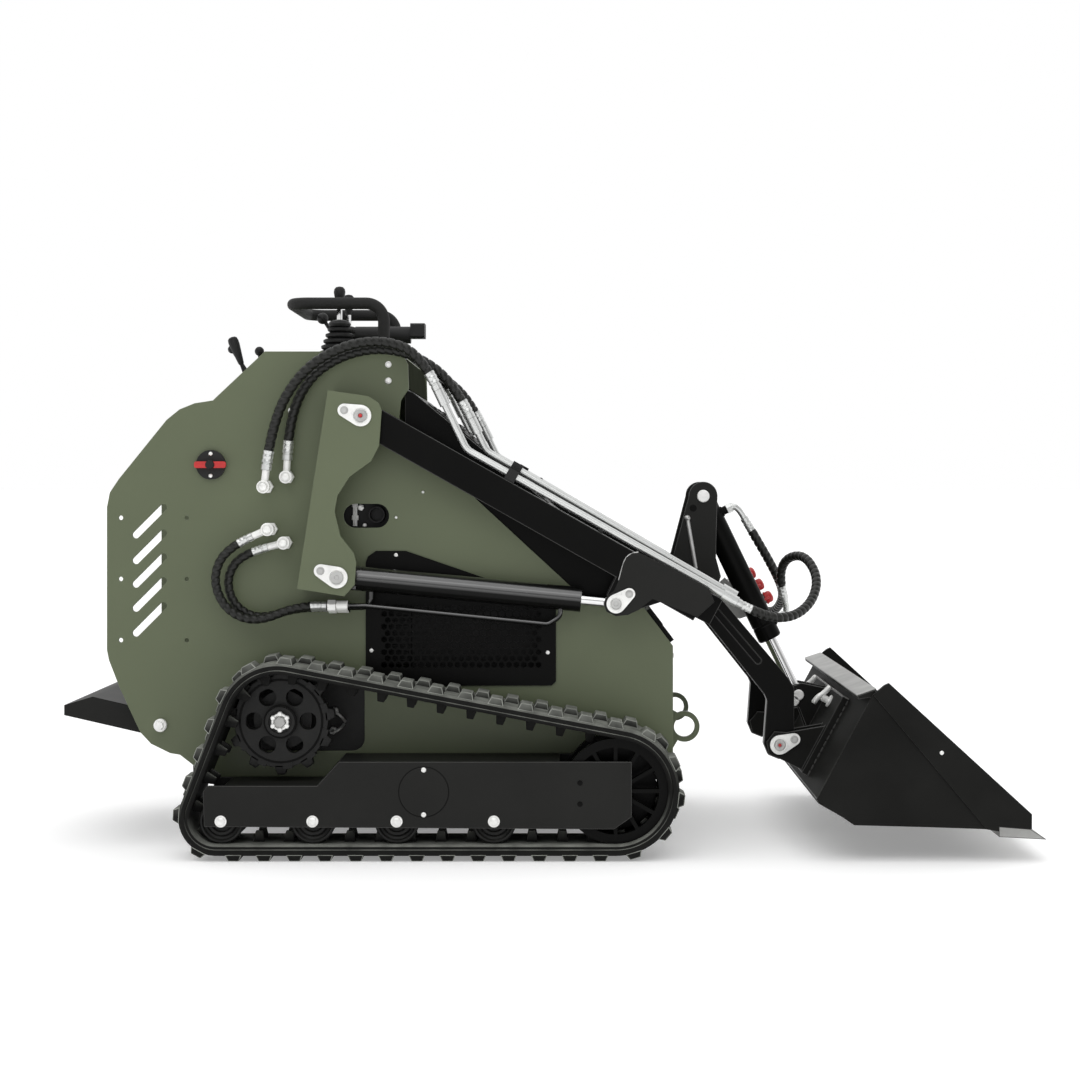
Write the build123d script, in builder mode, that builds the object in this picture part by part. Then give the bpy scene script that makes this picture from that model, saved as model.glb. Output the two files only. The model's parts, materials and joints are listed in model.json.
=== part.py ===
"""Compact stand-on track loader as separate named pieces.

Millimetres, +X forward, +Y to the left, +Z up. The ground is z = 0 and the middle of the machine is y = 0.
Right-hand pieces are drawn first and the left-hand ones are mirrored from them.
"""
import math
import os

from build123d import *

os.makedirs("parts", exist_ok=True)

# Running and seating clearances
SEAT = 0.3
PIN_GAP = 0.5

# Side plates
PLATE_OUT = 355.0
PLATE_T = 8.0
PLATE_IN = PLATE_OUT - PLATE_T
PLATE_OUTLINE = [
    (-815, 170), (318, 170), (318, 496), (245, 592), (237, 608), (104, 608), (60, 648), (-173, 863),
    (-340, 1018), (-352, 1036), (-353, 1057), (-349, 1098), (-330, 1126), (-332, 1187), (-343, 1206),
    (-362, 1218), (-683, 1218), (-803, 1105), (-810, 1098), (-855, 1091), (-892, 1076), (-924, 1050),
    (-1041, 905), (-1063, 872), (-1070, 836), (-1070, 486), (-1065, 461), (-1039, 394), (-988, 284),
    (-962, 256), (-915, 233), (-891, 229),
]
SLOT_W = 17.5
SLOT_X = -965.0
SLOT_Z = (802, 739, 681, 622, 561)
SLOT_LEN = 113.0
HOLE_R = 5.5
HOLE_X = (-1036, -874)
HOLE_Z = (810, 660, 510)
OVAL = (-434, 815)
OVAL_LEN = 112.0
OVAL_H = 59.0
VENT = (-201, 521)
VENT_W = 402.0
VENT_H = 162.0
VENT_R = 12.0
MOTOR_OPENING = (-620, 345)
MOTOR_OPENING_W = 364.0
MOTOR_OPENING_H = 212.0
MOTOR_OPENING_R = 30.0
PLATFORM_PIVOT = (-938, 302)
PLATFORM_BOLT_R = 9.0

# Body panels between the side plates
PAN_Z = 170.0
PAN_T = 8.0
PAN_X = (-800, 309)
WALL_X = -860.0
WALL_T = 6.0
WALL_Z = (PAN_Z + PAN_T + 2 * SEAT, 1062)
FRONT_X = 310.0
FRONT_T = 7.0
FRONT_BEND_Z = 495.0
FRONT_TOP = (241, 611)
FRONT_SHOULDER = (246, 588)
HALF_IN = PLATE_IN - SEAT
DECK_Z = 1205.0
DECK_T = 6.0
DECK_TOP = DECK_Z + DECK_T
DECK_X = (-676, -346)
DASH_LINE = [(-853, 1066), (-800, 1086), (-679, 1203), (-679, 1211), (-805, 1093), (-853, 1074)]
HOOD_OUTER = [(-340, 1204), (-334, 1123), (-320, 1118), (236, 660), (240, 612), (-340, 612)]
HOOD_INNER = [(-341, 1198), (-341, 1117), (-324, 1111), (229, 656), (233, 611), (-341, 611)]
HOOD_SIDE_T = 4.0
ENGINE_X = (-330, 110)
ENGINE_Z = (PAN_Z + PAN_T + 2 * SEAT, 600)
ENGINE_HALF = 240.0
STOP_PAD = [(311.3, 503.2), (320.8, 510.4), (261.8, 587.6), (252.3, 580.4)]
STOP_HALF = (230, 345)

# Side grille panels
GRILLE_T = 4.0
GRILLE_OUTLINE = [
    (-435, 399), (20, 399), (31, 410), (31, 640), (-100, 648), (-185, 677), (-337, 729), (-410, 729),
    (-430, 715), (-435, 700),
]
MESH_X = -390.0
MESH_Z = 450.0
MESH_PITCH = 18.0
MESH_HOLE_R = 8.0
MESH_ROWS = 10
MESH_COLUMNS = 22

# Boom pivots, in the side view
A = (-438, 1057)
B = (-495, 668)
R = (176, 604)
P = (588, 243)
T = (410, 862)
Q = (660, 345)
PIN_R = 20.0
BRACKET_IN = 447.0
BRACKET_T = 10.0
BRACKET_OUTLINE = [
    (-517, 1118), (-420, 1104), (-395, 1088), (-388, 1071), (-394, 985), (-413, 948), (-465, 910),
    (-494, 865), (-501, 826), (-487, 768), (-455, 727), (-449, 705), (-453, 650), (-478, 623), (-591, 641),
]
WEB = [(-517, 1118), (-505, 1116), (-579, 640), (-591, 641)]

# Boom arms
ARM_IN = 363.0
ARM_OUT = 439.0
ARM_HALF_H = 37.5
ARM_SLOPE = -29.4
ARM_LEN = 940.0
CHEEK_T = 8.0
CHEEK = [
    (225, 724), (211, 724), (182, 681), (156, 628), (147, 603), (155, 584), (174, 575), (199, 580),
    (285, 608), (294, 611), (365, 573), (392, 605), (396, 628),
]
CROSS = [(300, 684), (440, 610), (407, 548), (267, 622)]
LOWER_IN = 215.0
LOWER_OUT = 255.0
LOWER_ARM = [
    (441, 609), (612, 407), (626, 384), (626, 243), (615, 216), (588, 205), (561, 216), (550, 243),
    (558, 352), (553, 365), (408, 548),
]
TOWER_IN = 72.0
TOWER_T = 8.0
TOWER = [
    (332, 705), (322, 673), (440, 610.8), (456, 655), (443, 702), (444, 772), (447, 862), (373, 862),
]
TOWER_EYE_R = 37.0
LOWER_PIN_R = 18.0
GROOVE = (484, 512)
GROOVE_SLOPE = -49.5
GROOVE_LEN = 176.0
GROOVE_W = 17.0
GROOVE_DEEP = 8.0

# Lift cylinders
LIFT_MID = 401.0
LIFT_BARREL_R = 30.0
LIFT_BARREL = (28.0, 590.0)
LIFT_BORE_FROM = 70.0
LIFT_ROD_R = 15.0
LIFT_ROD_FROM = 100.0
LIFT_EYE_R = 30.0
LIFT_EYE_HALF = 24.0
LIFT_CLEVIS_W = 52.0
ROD_EYE_R = 28.0
CLEVIS_IN = 16.0

# Tilt cylinder
TILT_BARREL_R = 31.0
TILT_BARREL = (28.0, 415.0)
TILT_BORE_FROM = 60.0
TILT_ROD_R = 15.0
TILT_ROD_FROM = 110.0
TILT_EYE_R = 28.0
TILT_EYE_HALF = 26.0
TILT_CLEVIS_W = 50.0

# Bucket and its attach plate
BUCKET_HALF = 560.0
BUCKET_STRIP_T = 6.0
BUCKET_SIDE_T = 8.0 + BUCKET_STRIP_T
BUCKET_STRIP = [(780, 396), (1047, 79), (1087, 72), (1153, 80), (1153, 115), (817, 423), (806, 418)]
BUCKET_SIDE = [
    (647, 148), (735, 88), (1036, 80), (1087, 72), (1153, 80), (1153, 115), (817, 423), (806, 418),
    (780, 396),
]
BUCKET_SHELL = [
    (775.9, 388.4), (647, 150), (651, 138), (739, 88), (1074, 76), (1074, 84), (741, 96), (659, 142),
    (656, 150), (790, 398), (786, 407), (743, 392), (746, 384),
]
EDGE = [(1075, 61), (1188, 55), (1150, 80), (1075, 86)]
BACK_FOOT = (647, 150)
BACK_LEAN = (0.4757, 0.8797)
ATTACH_T = 18.0
ATTACH_UP = (20.0, 235.0)
ATTACH_HALF = 290.0
EAR_T = 10.0

# Tracks and running gear
TRACK_W = 180.0
TRACK_IN = 370.0
TRACK_OUT = TRACK_IN + TRACK_W
TRACK_MID = TRACK_IN + TRACK_W / 2
BELT_T = 26.0
LUG_H = 14.0
LUG_L = 30.0
LUG_ROOT = 6.0
PITCH = 72.0
FLOOR_IN = BELT_T + LUG_H
SPROCKET = (-627, 325)
SPROCKET_WRAP = 118.0
IDLER_R = 125.0
IDLER = (173, FLOOR_IN + IDLER_R)
CORNER_R = 64.0
CORNER = (-771, FLOOR_IN + CORNER_R)
GUIDE_H = 26.0
GUIDE_L = 26.0
GUIDE_Y = (22.0, 40.0)
GUIDE_PHASE = 0.25
ROLLER_R = 53.0
ROLLER_X = (-761, -544, -345, -115)
ROLLER_Z = FLOOR_IN + ROLLER_R + SEAT
WHEEL_Y = (45.0, 70.0)
ROLLER_IN = (TRACK_MID - WHEEL_Y[1], TRACK_MID - WHEEL_Y[0])
ROLLER_OUT = (TRACK_MID + WHEEL_Y[0], TRACK_MID + WHEEL_Y[1])
AXLE_R = 16.0
FRAME_T = 8.0
FRAME_HALF = 81.0
FRAME_OUT = TRACK_MID + FRAME_HALF
FRAME_IN = TRACK_MID - FRAME_HALF
FRAME_SIDE = [
    (-801, 82), (-803, 165), (-793, 179), (-533, 179), (-482, 236), (211, 236), (211, 105), (169, 76),
]
FRAME_TOP_T = 8.0

# Oil tubes along the boom arms, with the clamps that hold them
TUBE_R = 9.0
TUBE_BEND = 40.0
TUBE_COLLAR_R = 13.0
TUBE_COLLAR_LEN = 40.0
TUBE_Y = (420.0, 385.0)
TUBE_TOP = ((-254.2, 1120.5), (-176, 1052.6))
TUBE_KNEE = ((-185, 976), (-137, 972))
TUBE_END = ((470, 606.7), (470, 619))
# Each holder: place along the arm, length, and how far it reaches past the tube's own radius.
# The first is a clamp around the tube, and the others are saddles under it.
CLAMPS = ((386.0, 26.0, 5.0), (640.0, 12.0, -3.0), (880.0, 12.0, -3.0))

# Hoses: points are (x, y, z)
BOOM_HOSE_R = 11.0
BOOM_HOSE_OUTER = [
    (-672.5, -408, 926.7), (-658, -408, 1045), (-590, -410, 1165), (-490, -412, 1228), (-385, -414, 1243),
    (-295.2, -420, 1206.2), (-254.2, -420, 1120.5),
]
BOOM_HOSE_INNER = [
    (-624.6, -381, 951), (-620, -381, 1050), (-572, -381, 1155), (-480, -382, 1213), (-375, -384, 1226),
    (-278, -385, 1190), (-212, -385, 1125), (-176, -385, 1052.6),
]
LIFT_HOSE_R = 9.0
LIFT_HOSE_OUTER = [
    (-704.5, -412, 766.2), (-769.6, -412, 737.7), (-802, -412, 664), (-772, -412, 588), (-697, -412, 555),
    (-590, -412, 600), (-525, -412, 597.5),
]
LIFT_HOSE_INNER = [
    (-670.7, -390, 739.1), (-738.5, -390, 721.6), (-772.7, -390, 660.2), (-751.8, -390, 593.1),
    (-688.8, -390, 561.9), (-592, -390, 595), (-525, -390, 592),
]
TILT_HOSE_R = 9.0
TILT_HOSE_ROD = [
    (470, -420, 606.7), (535.3, -420, 569.9), (612, -366, 566), (668, -295, 602), (690, -222, 660),
    (664, -145, 714), (622, -70, 702), (611, -24, 646), (627, -10, 593),
]
TILT_HOSE_BASE = [
    (522, 6, 804.6), (568, 19, 730), (612, 55, 655), (638, 130, 605), (639.9, 207, 570),
    (627.1, 285.2, 540.2), (593.1, 363, 544.4), (535.3, 420, 569.9), (470, 420, 606.7),
]

# Fittings on the side plates, one for each hose: place, distance out and direction in degrees
FITTING_R = 9.0
FITTING_STEM_R = 11.0
FITTING_HEAD = 13.0
FITTING_NUT_R = 17.0
FITTING_NUT_T = 12.0
FITTING_LEN = 41.0
FITTINGS = (
    ((-677.5, 886.0), 408.0, 83.0), ((-626.5, 910.0), 381.0, 87.3),
    ((-667.0, 782.7), 412.0, 203.7), ((-631.0, 749.4), 390.0, 194.5),
)

# Oil pipes of the lift cylinders, under the barrels
PIPE_R = 6.0
PIPE_BEND = 22.0
PIPE_COLLAR_R = 11.0
PIPE_COLLAR_LEN = 55.0

# Oil ports of the tilt cylinder: distance along the barrel, and where the elbow ends
PORT_R = 11.0
PORT_OUT = 83.0
PORT_BASE_AT = 60.4
PORT_ROD_AT = 375.0

# Couplers for attachments, on a bracket in front of the cross-member
COUPLER_BRACKET = [(440.3, 609.9), (480, 644), (562, 548), (520, 534), (413, 558.6)]
COUPLER_BRACKET_Y = (-115.0, -105.0)
COUPLER_Y = 122.0
COUPLERS = ((484, 622), (506, 592), (530, 559))
COUPLER_R = 14.0
COUPLER_LEN = 64.0
CAP_R = 17.0
CAP_LEN = 22.0

# Battery switch, levers, instrument housing and lamp
SWITCH = (-814, 940)
SWITCH_R = 36.0
SWITCH_T = 10.0
SWITCH_HANDLE = (77.0, 16.0, 12.0)
LEVERS = (((-772, 1128.5), (-788, 1270), -120.0, 13.0), ((-800, 1102), (-823, 1242), 0.0, 11.0))
LEVER_SHAFT_R = 5.0
LEVER_KNOB_LEN = 44.0
HOUSING_X = (-489.0, -346.0)
HOUSING_Z = 1279.0
HOUSING_R = 22.0
HOUSING_Y = -60.0
HOUSING_FOOT = (60.0, 30.0)
LAMP_X = (-346.0, -309.0)
LAMP_Z = (1270.0, 1308.0)
LAMP_HALF = 30.0


def hose_radii(name, points):
    """The largest arcs that the runs of a hose allow, one for each corner."""
    corners = [Vector(*point) for point in points]
    radii = []
    for before, here, after in zip(corners, corners[1:], corners[2:]):
        turn = math.radians((here - before).get_angle(after - here))
        run = min((here - before).length, (after - here).length)
        radii.append(0.45 * run / math.tan(turn / 2))
    print(name, "radii", [round(radius) for radius in radii])
    return radii


# Outer run of the track: straight and curved stretches around the three circles
def track_run(extra):
    wheels = [
        (IDLER[0], IDLER[1], IDLER_R + extra),
        (SPROCKET[0], SPROCKET[1], SPROCKET_WRAP + extra),
        (CORNER[0], CORNER[1], CORNER_R + extra),
    ]
    pieces = []
    angles = []
    for i in range(3):
        x0, z0, r0 = wheels[i]
        x1, z1, r1 = wheels[(i + 1) % 3]
        span = math.hypot(x1 - x0, z1 - z0)
        along = math.atan2(z1 - z0, x1 - x0)
        normal = along - math.acos((r0 - r1) / span)
        angles.append(normal)
    for i in range(3):
        x0, z0, r0 = wheels[i]
        x1, z1, r1 = wheels[(i + 1) % 3]
        start = angles[i - 1]
        turn = (angles[i] - start) % (2 * math.pi)
        pieces.append(("arc", x0, z0, r0, start, turn))
        n = angles[i]
        a = (x0 + r0 * math.cos(n), z0 + r0 * math.sin(n))
        b = (x1 + r1 * math.cos(n), z1 + r1 * math.sin(n))
        pieces.append(("line", a, b, n))
    return pieces


def track_points(step, extra, phase, out):
    """Places at equal steps along the run, each moved out from it, with the outward angle in degrees."""
    pieces = track_run(extra)
    lengths = []
    for piece in pieces:
        if piece[0] == "arc":
            lengths.append(piece[3] * piece[5])
        else:
            lengths.append(math.dist(piece[1], piece[2]))
    total = sum(lengths)
    count = round(total / step)
    places = []
    for k in range(count):
        s = ((k + phase) * total / count) % total
        i = 0
        while s > lengths[i]:
            s -= lengths[i]
            i += 1
        piece = pieces[i]
        if piece[0] == "arc":
            angle = piece[4] + s / piece[3]
            x = piece[1] + (piece[3] + out) * math.cos(angle)
            z = piece[2] + (piece[3] + out) * math.sin(angle)
        else:
            t = s / lengths[i]
            angle = piece[3]
            x = piece[1][0] + t * (piece[2][0] - piece[1][0]) + out * math.cos(angle)
            z = piece[1][1] + t * (piece[2][1] - piece[1][1]) + out * math.sin(angle)
        places.append((x, z, math.degrees(angle)))
    return places


# Side plates
with BuildPart() as side_plate_right:
    with BuildSketch(Plane.XZ.offset(PLATE_IN)):
        Polygon(*PLATE_OUTLINE, align=None)
        for z in SLOT_Z:
            with Locations(Location((SLOT_X, z), 45)):
                SlotOverall(SLOT_LEN, SLOT_W, mode=Mode.SUBTRACT)
        for x in HOLE_X:
            for z in HOLE_Z:
                with Locations((x, z)):
                    Circle(HOLE_R, mode=Mode.SUBTRACT)
        with Locations(OVAL):
            SlotOverall(OVAL_LEN, OVAL_H, mode=Mode.SUBTRACT)
        with Locations(VENT):
            RectangleRounded(VENT_W, VENT_H, VENT_R, mode=Mode.SUBTRACT)
        with Locations(MOTOR_OPENING):
            RectangleRounded(MOTOR_OPENING_W, MOTOR_OPENING_H, MOTOR_OPENING_R, mode=Mode.SUBTRACT)
        with Locations(PLATFORM_PIVOT):
            Circle(PLATFORM_BOLT_R + PIN_GAP, mode=Mode.SUBTRACT)
    extrude(amount=PLATE_T)
side_plate_right.part.label = "side_plate_right"
export_step(side_plate_right.part, "parts/side_plate_right.step")

with BuildPart() as side_plate_left:
    mirror(side_plate_right.part, about=Plane.XZ)
side_plate_left.part.label = "side_plate_left"
export_step(side_plate_left.part, "parts/side_plate_left.step")

# Body panels
with BuildPart() as belly_pan:
    with BuildSketch(Plane.XZ.offset(-HALF_IN)):
        Polygon(
            (PAN_X[0], PAN_Z), (PAN_X[1], PAN_Z), (PAN_X[1], PAN_Z + PAN_T), (PAN_X[0], PAN_Z + PAN_T),
            align=None,
        )
    extrude(amount=2 * HALF_IN)
belly_pan.part.label = "belly_pan"
export_step(belly_pan.part, "parts/belly_pan.step")

with BuildPart() as rear_wall:
    with BuildSketch(Plane.XZ.offset(-HALF_IN)):
        Polygon(
            (WALL_X, WALL_Z[0]), (WALL_X + WALL_T, WALL_Z[0]), (WALL_X + WALL_T, WALL_Z[1]),
            (WALL_X, WALL_Z[1]), align=None,
        )
    extrude(amount=2 * HALF_IN)
rear_wall.part.label = "rear_wall"
export_step(rear_wall.part, "parts/rear_wall.step")

with BuildPart() as dash_panel:
    with BuildSketch(Plane.XZ.offset(-HALF_IN)):
        Polygon(*DASH_LINE, align=None)
    extrude(amount=2 * HALF_IN)
dash_panel.part.label = "dash_panel"
export_step(dash_panel.part, "parts/dash_panel.step")

with BuildPart() as top_deck:
    with BuildSketch(Plane.XZ.offset(-HALF_IN)):
        Polygon(
            (DECK_X[0], DECK_Z), (DECK_X[1], DECK_Z), (DECK_X[1], DECK_TOP), (DECK_X[0], DECK_TOP),
            align=None,
        )
    extrude(amount=2 * HALF_IN)
top_deck.part.label = "top_deck"
export_step(top_deck.part, "parts/top_deck.step")

with BuildPart() as hood:
    with BuildSketch(Plane.XZ.offset(-HALF_IN)):
        Polygon(*HOOD_OUTER, align=None)
    extrude(amount=2 * HALF_IN)
    with BuildSketch(Plane.XZ.offset(-(HALF_IN - HOOD_SIDE_T))):
        Polygon(*HOOD_INNER, align=None)
    extrude(amount=2 * (HALF_IN - HOOD_SIDE_T), mode=Mode.SUBTRACT)
hood.part.label = "hood"
export_step(hood.part, "parts/hood.step")

with BuildPart() as front_panel:
    with BuildSketch(Plane.XZ.offset(-HALF_IN)):
        Polygon(
            (FRONT_X, PAN_Z), (FRONT_X + FRONT_T, PAN_Z), (FRONT_X + FRONT_T, FRONT_BEND_Z),
            FRONT_SHOULDER, FRONT_TOP, (FRONT_TOP[0] - FRONT_T, FRONT_TOP[1]),
            (FRONT_SHOULDER[0] - FRONT_T, FRONT_SHOULDER[1] - FRONT_T / 2),
            (FRONT_X, FRONT_BEND_Z - FRONT_T / 2), align=None,
        )
    extrude(amount=2 * HALF_IN)
front_panel.part.label = "front_panel"
export_step(front_panel.part, "parts/front_panel.step")

with BuildPart() as engine:
    with BuildSketch(Plane.XZ.offset(-ENGINE_HALF)):
        Polygon(
            (ENGINE_X[0], ENGINE_Z[0]), (ENGINE_X[1], ENGINE_Z[0]), (ENGINE_X[1], ENGINE_Z[1]),
            (ENGINE_X[0], ENGINE_Z[1]), align=None,
        )
    extrude(amount=2 * ENGINE_HALF)
engine.part.label = "engine"
export_step(engine.part, "parts/engine.step")

with BuildPart() as boom_stops:
    with BuildSketch(Plane.XZ.offset(STOP_HALF[0])):
        Polygon(*STOP_PAD, align=None)
    extrude(amount=STOP_HALF[1] - STOP_HALF[0])
    mirror(about=Plane.XZ)
boom_stops.part.label = "boom_stops"
export_step(boom_stops.part, "parts/boom_stops.step")

with BuildPart() as grille_right:
    with BuildSketch(Plane.XZ.offset(PLATE_OUT + SEAT)):
        Polygon(*GRILLE_OUTLINE, align=None)
        for row in range(MESH_ROWS):
            for column in range(MESH_COLUMNS - row % 2):
                spot = (
                    MESH_X + MESH_PITCH * (column + 0.5 * (row % 2)),
                    MESH_Z + MESH_PITCH * math.sqrt(3) / 2 * row,
                )
                with Locations(spot):
                    RegularPolygon(MESH_HOLE_R, 6, rotation=30, mode=Mode.SUBTRACT)
    extrude(amount=GRILLE_T)
grille_right.part.label = "grille_right"
export_step(grille_right.part, "parts/grille_right.step")

with BuildPart() as grille_left:
    mirror(grille_right.part, about=Plane.XZ)
grille_left.part.label = "grille_left"
export_step(grille_left.part, "parts/grille_left.step")

RING = (352, 286)
RING_R = 38.0
RING_HOLE = 26.0
RING_Y = (232.0, 248.0)
RING_FOOT_X = FRONT_X + FRONT_T + SEAT
with BuildPart() as tie_down_rings:
    with BuildSketch(Plane.XZ.offset(RING_Y[0])):
        with Locations(RING):
            Circle(RING_R)
        Polygon((RING_FOOT_X, 330), (RING_FOOT_X, 222), (335, 252), (335, 320), align=None)
        Polygon(
            (300, 400), (300, 180), (RING_FOOT_X, 180), (RING_FOOT_X, 400), align=None, mode=Mode.SUBTRACT,
        )
        with Locations(RING):
            Circle(RING_HOLE, mode=Mode.SUBTRACT)
    extrude(amount=RING_Y[1] - RING_Y[0])
    mirror(about=Plane.XZ)
tie_down_rings.part.label = "tie_down_rings"
export_step(tie_down_rings.part, "parts/tie_down_rings.step")

# Boom brackets, each with the boom pivot pin and the lift cylinder pin
with BuildPart() as boom_bracket_right:
    with BuildSketch(Plane.XZ.offset(BRACKET_IN)):
        Polygon(*BRACKET_OUTLINE, align=None)
    extrude(amount=BRACKET_T)
    with BuildSketch(Plane.XZ.offset(PLATE_OUT + SEAT)):
        Polygon(*WEB, align=None)
    extrude(amount=BRACKET_IN - PLATE_OUT - SEAT)
    with BuildSketch(Plane.XZ.offset(PLATE_OUT + SEAT)):
        with Locations(A, B):
            Circle(PIN_R)
    extrude(amount=BRACKET_IN - PLATE_OUT - SEAT + BRACKET_T / 2)
boom_bracket_right.part.label = "boom_bracket_right"
export_step(boom_bracket_right.part, "parts/boom_bracket_right.step")

with BuildPart() as boom_bracket_left:
    mirror(boom_bracket_right.part, about=Plane.XZ)
boom_bracket_left.part.label = "boom_bracket_left"
export_step(boom_bracket_left.part, "parts/boom_bracket_left.step")

# Boom
ARM_COS = math.cos(math.radians(ARM_SLOPE))
ARM_SIN = math.sin(math.radians(ARM_SLOPE))
with BuildPart() as boom_arm_right:
    with BuildSketch(Plane.XZ.offset(ARM_IN)):
        with Locations(A):
            Circle(ARM_HALF_H)
        with Locations(Location((A[0] + ARM_LEN / 2 * ARM_COS, A[1] + ARM_LEN / 2 * ARM_SIN), ARM_SLOPE)):
            Rectangle(ARM_LEN, 2 * ARM_HALF_H)
        with Locations(A):
            Circle(PIN_R + PIN_GAP, mode=Mode.SUBTRACT)
    extrude(amount=ARM_OUT - ARM_IN)
    with BuildSketch(Plane.XZ.offset(ARM_IN)):
        Polygon(*CHEEK, align=None)
    extrude(amount=CHEEK_T)
    with BuildSketch(Plane.XZ.offset(ARM_OUT - CHEEK_T)):
        Polygon(*CHEEK, align=None)
    extrude(amount=CHEEK_T)
boom_arm_right.part.label = "boom_arm_right"
export_step(boom_arm_right.part, "parts/boom_arm_right.step")

with BuildPart() as boom_arm_left:
    mirror(boom_arm_right.part, about=Plane.XZ)
boom_arm_left.part.label = "boom_arm_left"
export_step(boom_arm_left.part, "parts/boom_arm_left.step")

with BuildPart() as boom_crossmember:
    with BuildSketch(Plane.XZ.offset(-(ARM_IN - SEAT))):
        Polygon(*CROSS, align=None)
    extrude(amount=2 * (ARM_IN - SEAT))
boom_crossmember.part.label = "boom_crossmember"
export_step(boom_crossmember.part, "parts/boom_crossmember.step")

with BuildPart() as lower_arm_right:
    with BuildSketch(Plane.XZ.offset(LOWER_IN)):
        Polygon(*LOWER_ARM, align=None)
        with Locations(P):
            Circle(LOWER_PIN_R + PIN_GAP, mode=Mode.SUBTRACT)
    extrude(amount=LOWER_OUT - LOWER_IN)
    with BuildSketch(Plane.XZ.offset(LOWER_OUT - GROOVE_DEEP)):
        with Locations(Location(GROOVE, GROOVE_SLOPE)):
            SlotOverall(GROOVE_LEN, GROOVE_W)
    extrude(amount=GROOVE_DEEP + 1, mode=Mode.SUBTRACT)
lower_arm_right.part.label = "lower_arm_right"
export_step(lower_arm_right.part, "parts/lower_arm_right.step")

with BuildPart() as lower_arm_left:
    mirror(lower_arm_right.part, about=Plane.XZ)
lower_arm_left.part.label = "lower_arm_left"
export_step(lower_arm_left.part, "parts/lower_arm_left.step")

with BuildPart() as tilt_tower:
    with BuildSketch(Plane.XZ.offset(TOWER_IN)):
        Polygon(*TOWER, align=None)
        with Locations(T):
            Circle(TOWER_EYE_R)
    extrude(amount=TOWER_T)
    with BuildSketch(Plane.XZ.offset(-TOWER_IN - TOWER_T)):
        Polygon(*TOWER, align=None)
        with Locations(T):
            Circle(TOWER_EYE_R)
    extrude(amount=TOWER_T)
    with BuildSketch(Plane.XZ.offset(-TOWER_IN)):
        with Locations(T):
            Circle(PIN_R)
    extrude(amount=2 * TOWER_IN)
tilt_tower.part.label = "tilt_tower"
export_step(tilt_tower.part, "parts/tilt_tower.step")

# Lift cylinders: each is drawn on a plane whose x axis runs from the base pin to the rod's eye
LIFT_LEN = math.dist(B, R)
LIFT_ANGLE = math.atan2(R[1] - B[1], R[0] - B[0])
LIFT_DIR = (math.cos(LIFT_ANGLE), 0, math.sin(LIFT_ANGLE))
LIFT_BASE = (B[0], -LIFT_MID, B[1])
LIFT_SIDE = Plane(origin=(B[0], -LIFT_MID + LIFT_EYE_HALF, B[1]), x_dir=LIFT_DIR, z_dir=(0, -1, 0))
LIFT_END = Plane(origin=LIFT_BASE, z_dir=LIFT_DIR, x_dir=(0, 1, 0))
LIFT_PIPE_LONG = [
    (LIFT_HOSE_OUTER[-1][0] + 2 * SEAT, LIFT_HOSE_OUTER[-1][1], LIFT_HOSE_OUTER[-1][2]),
    (-430, LIFT_HOSE_OUTER[-1][1], LIFT_HOSE_OUTER[-1][2]), (12, -412, 553), (42, -412, 572), (42, -408, 602),
]
LIFT_PIPE_SHORT = [
    (LIFT_HOSE_INNER[-1][0] + 2 * SEAT, LIFT_HOSE_INNER[-1][1], LIFT_HOSE_INNER[-1][2]),
    (-420, LIFT_HOSE_INNER[-1][1], LIFT_HOSE_INNER[-1][2]), (-418, -393, 645),
]
with BuildPart() as lift_barrel_right:
    with BuildSketch(LIFT_END.offset(LIFT_BARREL[0])):
        Circle(LIFT_BARREL_R)
    extrude(amount=LIFT_BARREL[1] - LIFT_BARREL[0])
    with BuildSketch(LIFT_SIDE):
        Circle(LIFT_EYE_R)
        with Locations((LIFT_BARREL[0] / 2 + CLEVIS_IN / 2, 0)):
            Rectangle(LIFT_BARREL[0] + CLEVIS_IN, LIFT_CLEVIS_W)
    extrude(amount=2 * LIFT_EYE_HALF)
    with BuildLine():
        FilletPolyline(*LIFT_PIPE_LONG, radius=PIPE_BEND)
    with BuildSketch(Plane(origin=LIFT_PIPE_LONG[0], z_dir=(1, 0, 0))):
        Circle(PIPE_R)
    sweep()
    with BuildLine():
        FilletPolyline(*LIFT_PIPE_SHORT, radius=PIPE_BEND)
    with BuildSketch(Plane(origin=LIFT_PIPE_SHORT[0], z_dir=(1, 0, 0))):
        Circle(PIPE_R)
    sweep()
    for place in (LIFT_PIPE_LONG[0], LIFT_PIPE_SHORT[0]):
        with BuildSketch(Plane(origin=place, z_dir=(1, 0, 0))):
            Circle(PIPE_COLLAR_R)
        extrude(amount=PIPE_COLLAR_LEN)
    with BuildSketch(LIFT_SIDE):
        Circle(PIN_R + PIN_GAP)
    extrude(amount=2 * LIFT_EYE_HALF, mode=Mode.SUBTRACT)
    with BuildSketch(LIFT_END.offset(LIFT_BORE_FROM)):
        Circle(LIFT_ROD_R + PIN_GAP)
    extrude(amount=LIFT_BARREL[1], mode=Mode.SUBTRACT)
lift_barrel_right.part.label = "lift_barrel_right"
export_step(lift_barrel_right.part, "parts/lift_barrel_right.step")

with BuildPart() as lift_barrel_left:
    mirror(lift_barrel_right.part, about=Plane.XZ)
lift_barrel_left.part.label = "lift_barrel_left"
export_step(lift_barrel_left.part, "parts/lift_barrel_left.step")

with BuildPart() as lift_rod_right:
    with BuildSketch(LIFT_END.offset(LIFT_ROD_FROM)):
        Circle(LIFT_ROD_R)
    extrude(amount=LIFT_LEN - LIFT_ROD_FROM)
    with BuildSketch(LIFT_SIDE):
        with Locations((LIFT_LEN, 0)):
            Circle(ROD_EYE_R)
    extrude(amount=2 * LIFT_EYE_HALF)
lift_rod_right.part.label = "lift_rod_right"
export_step(lift_rod_right.part, "parts/lift_rod_right.step")

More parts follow.
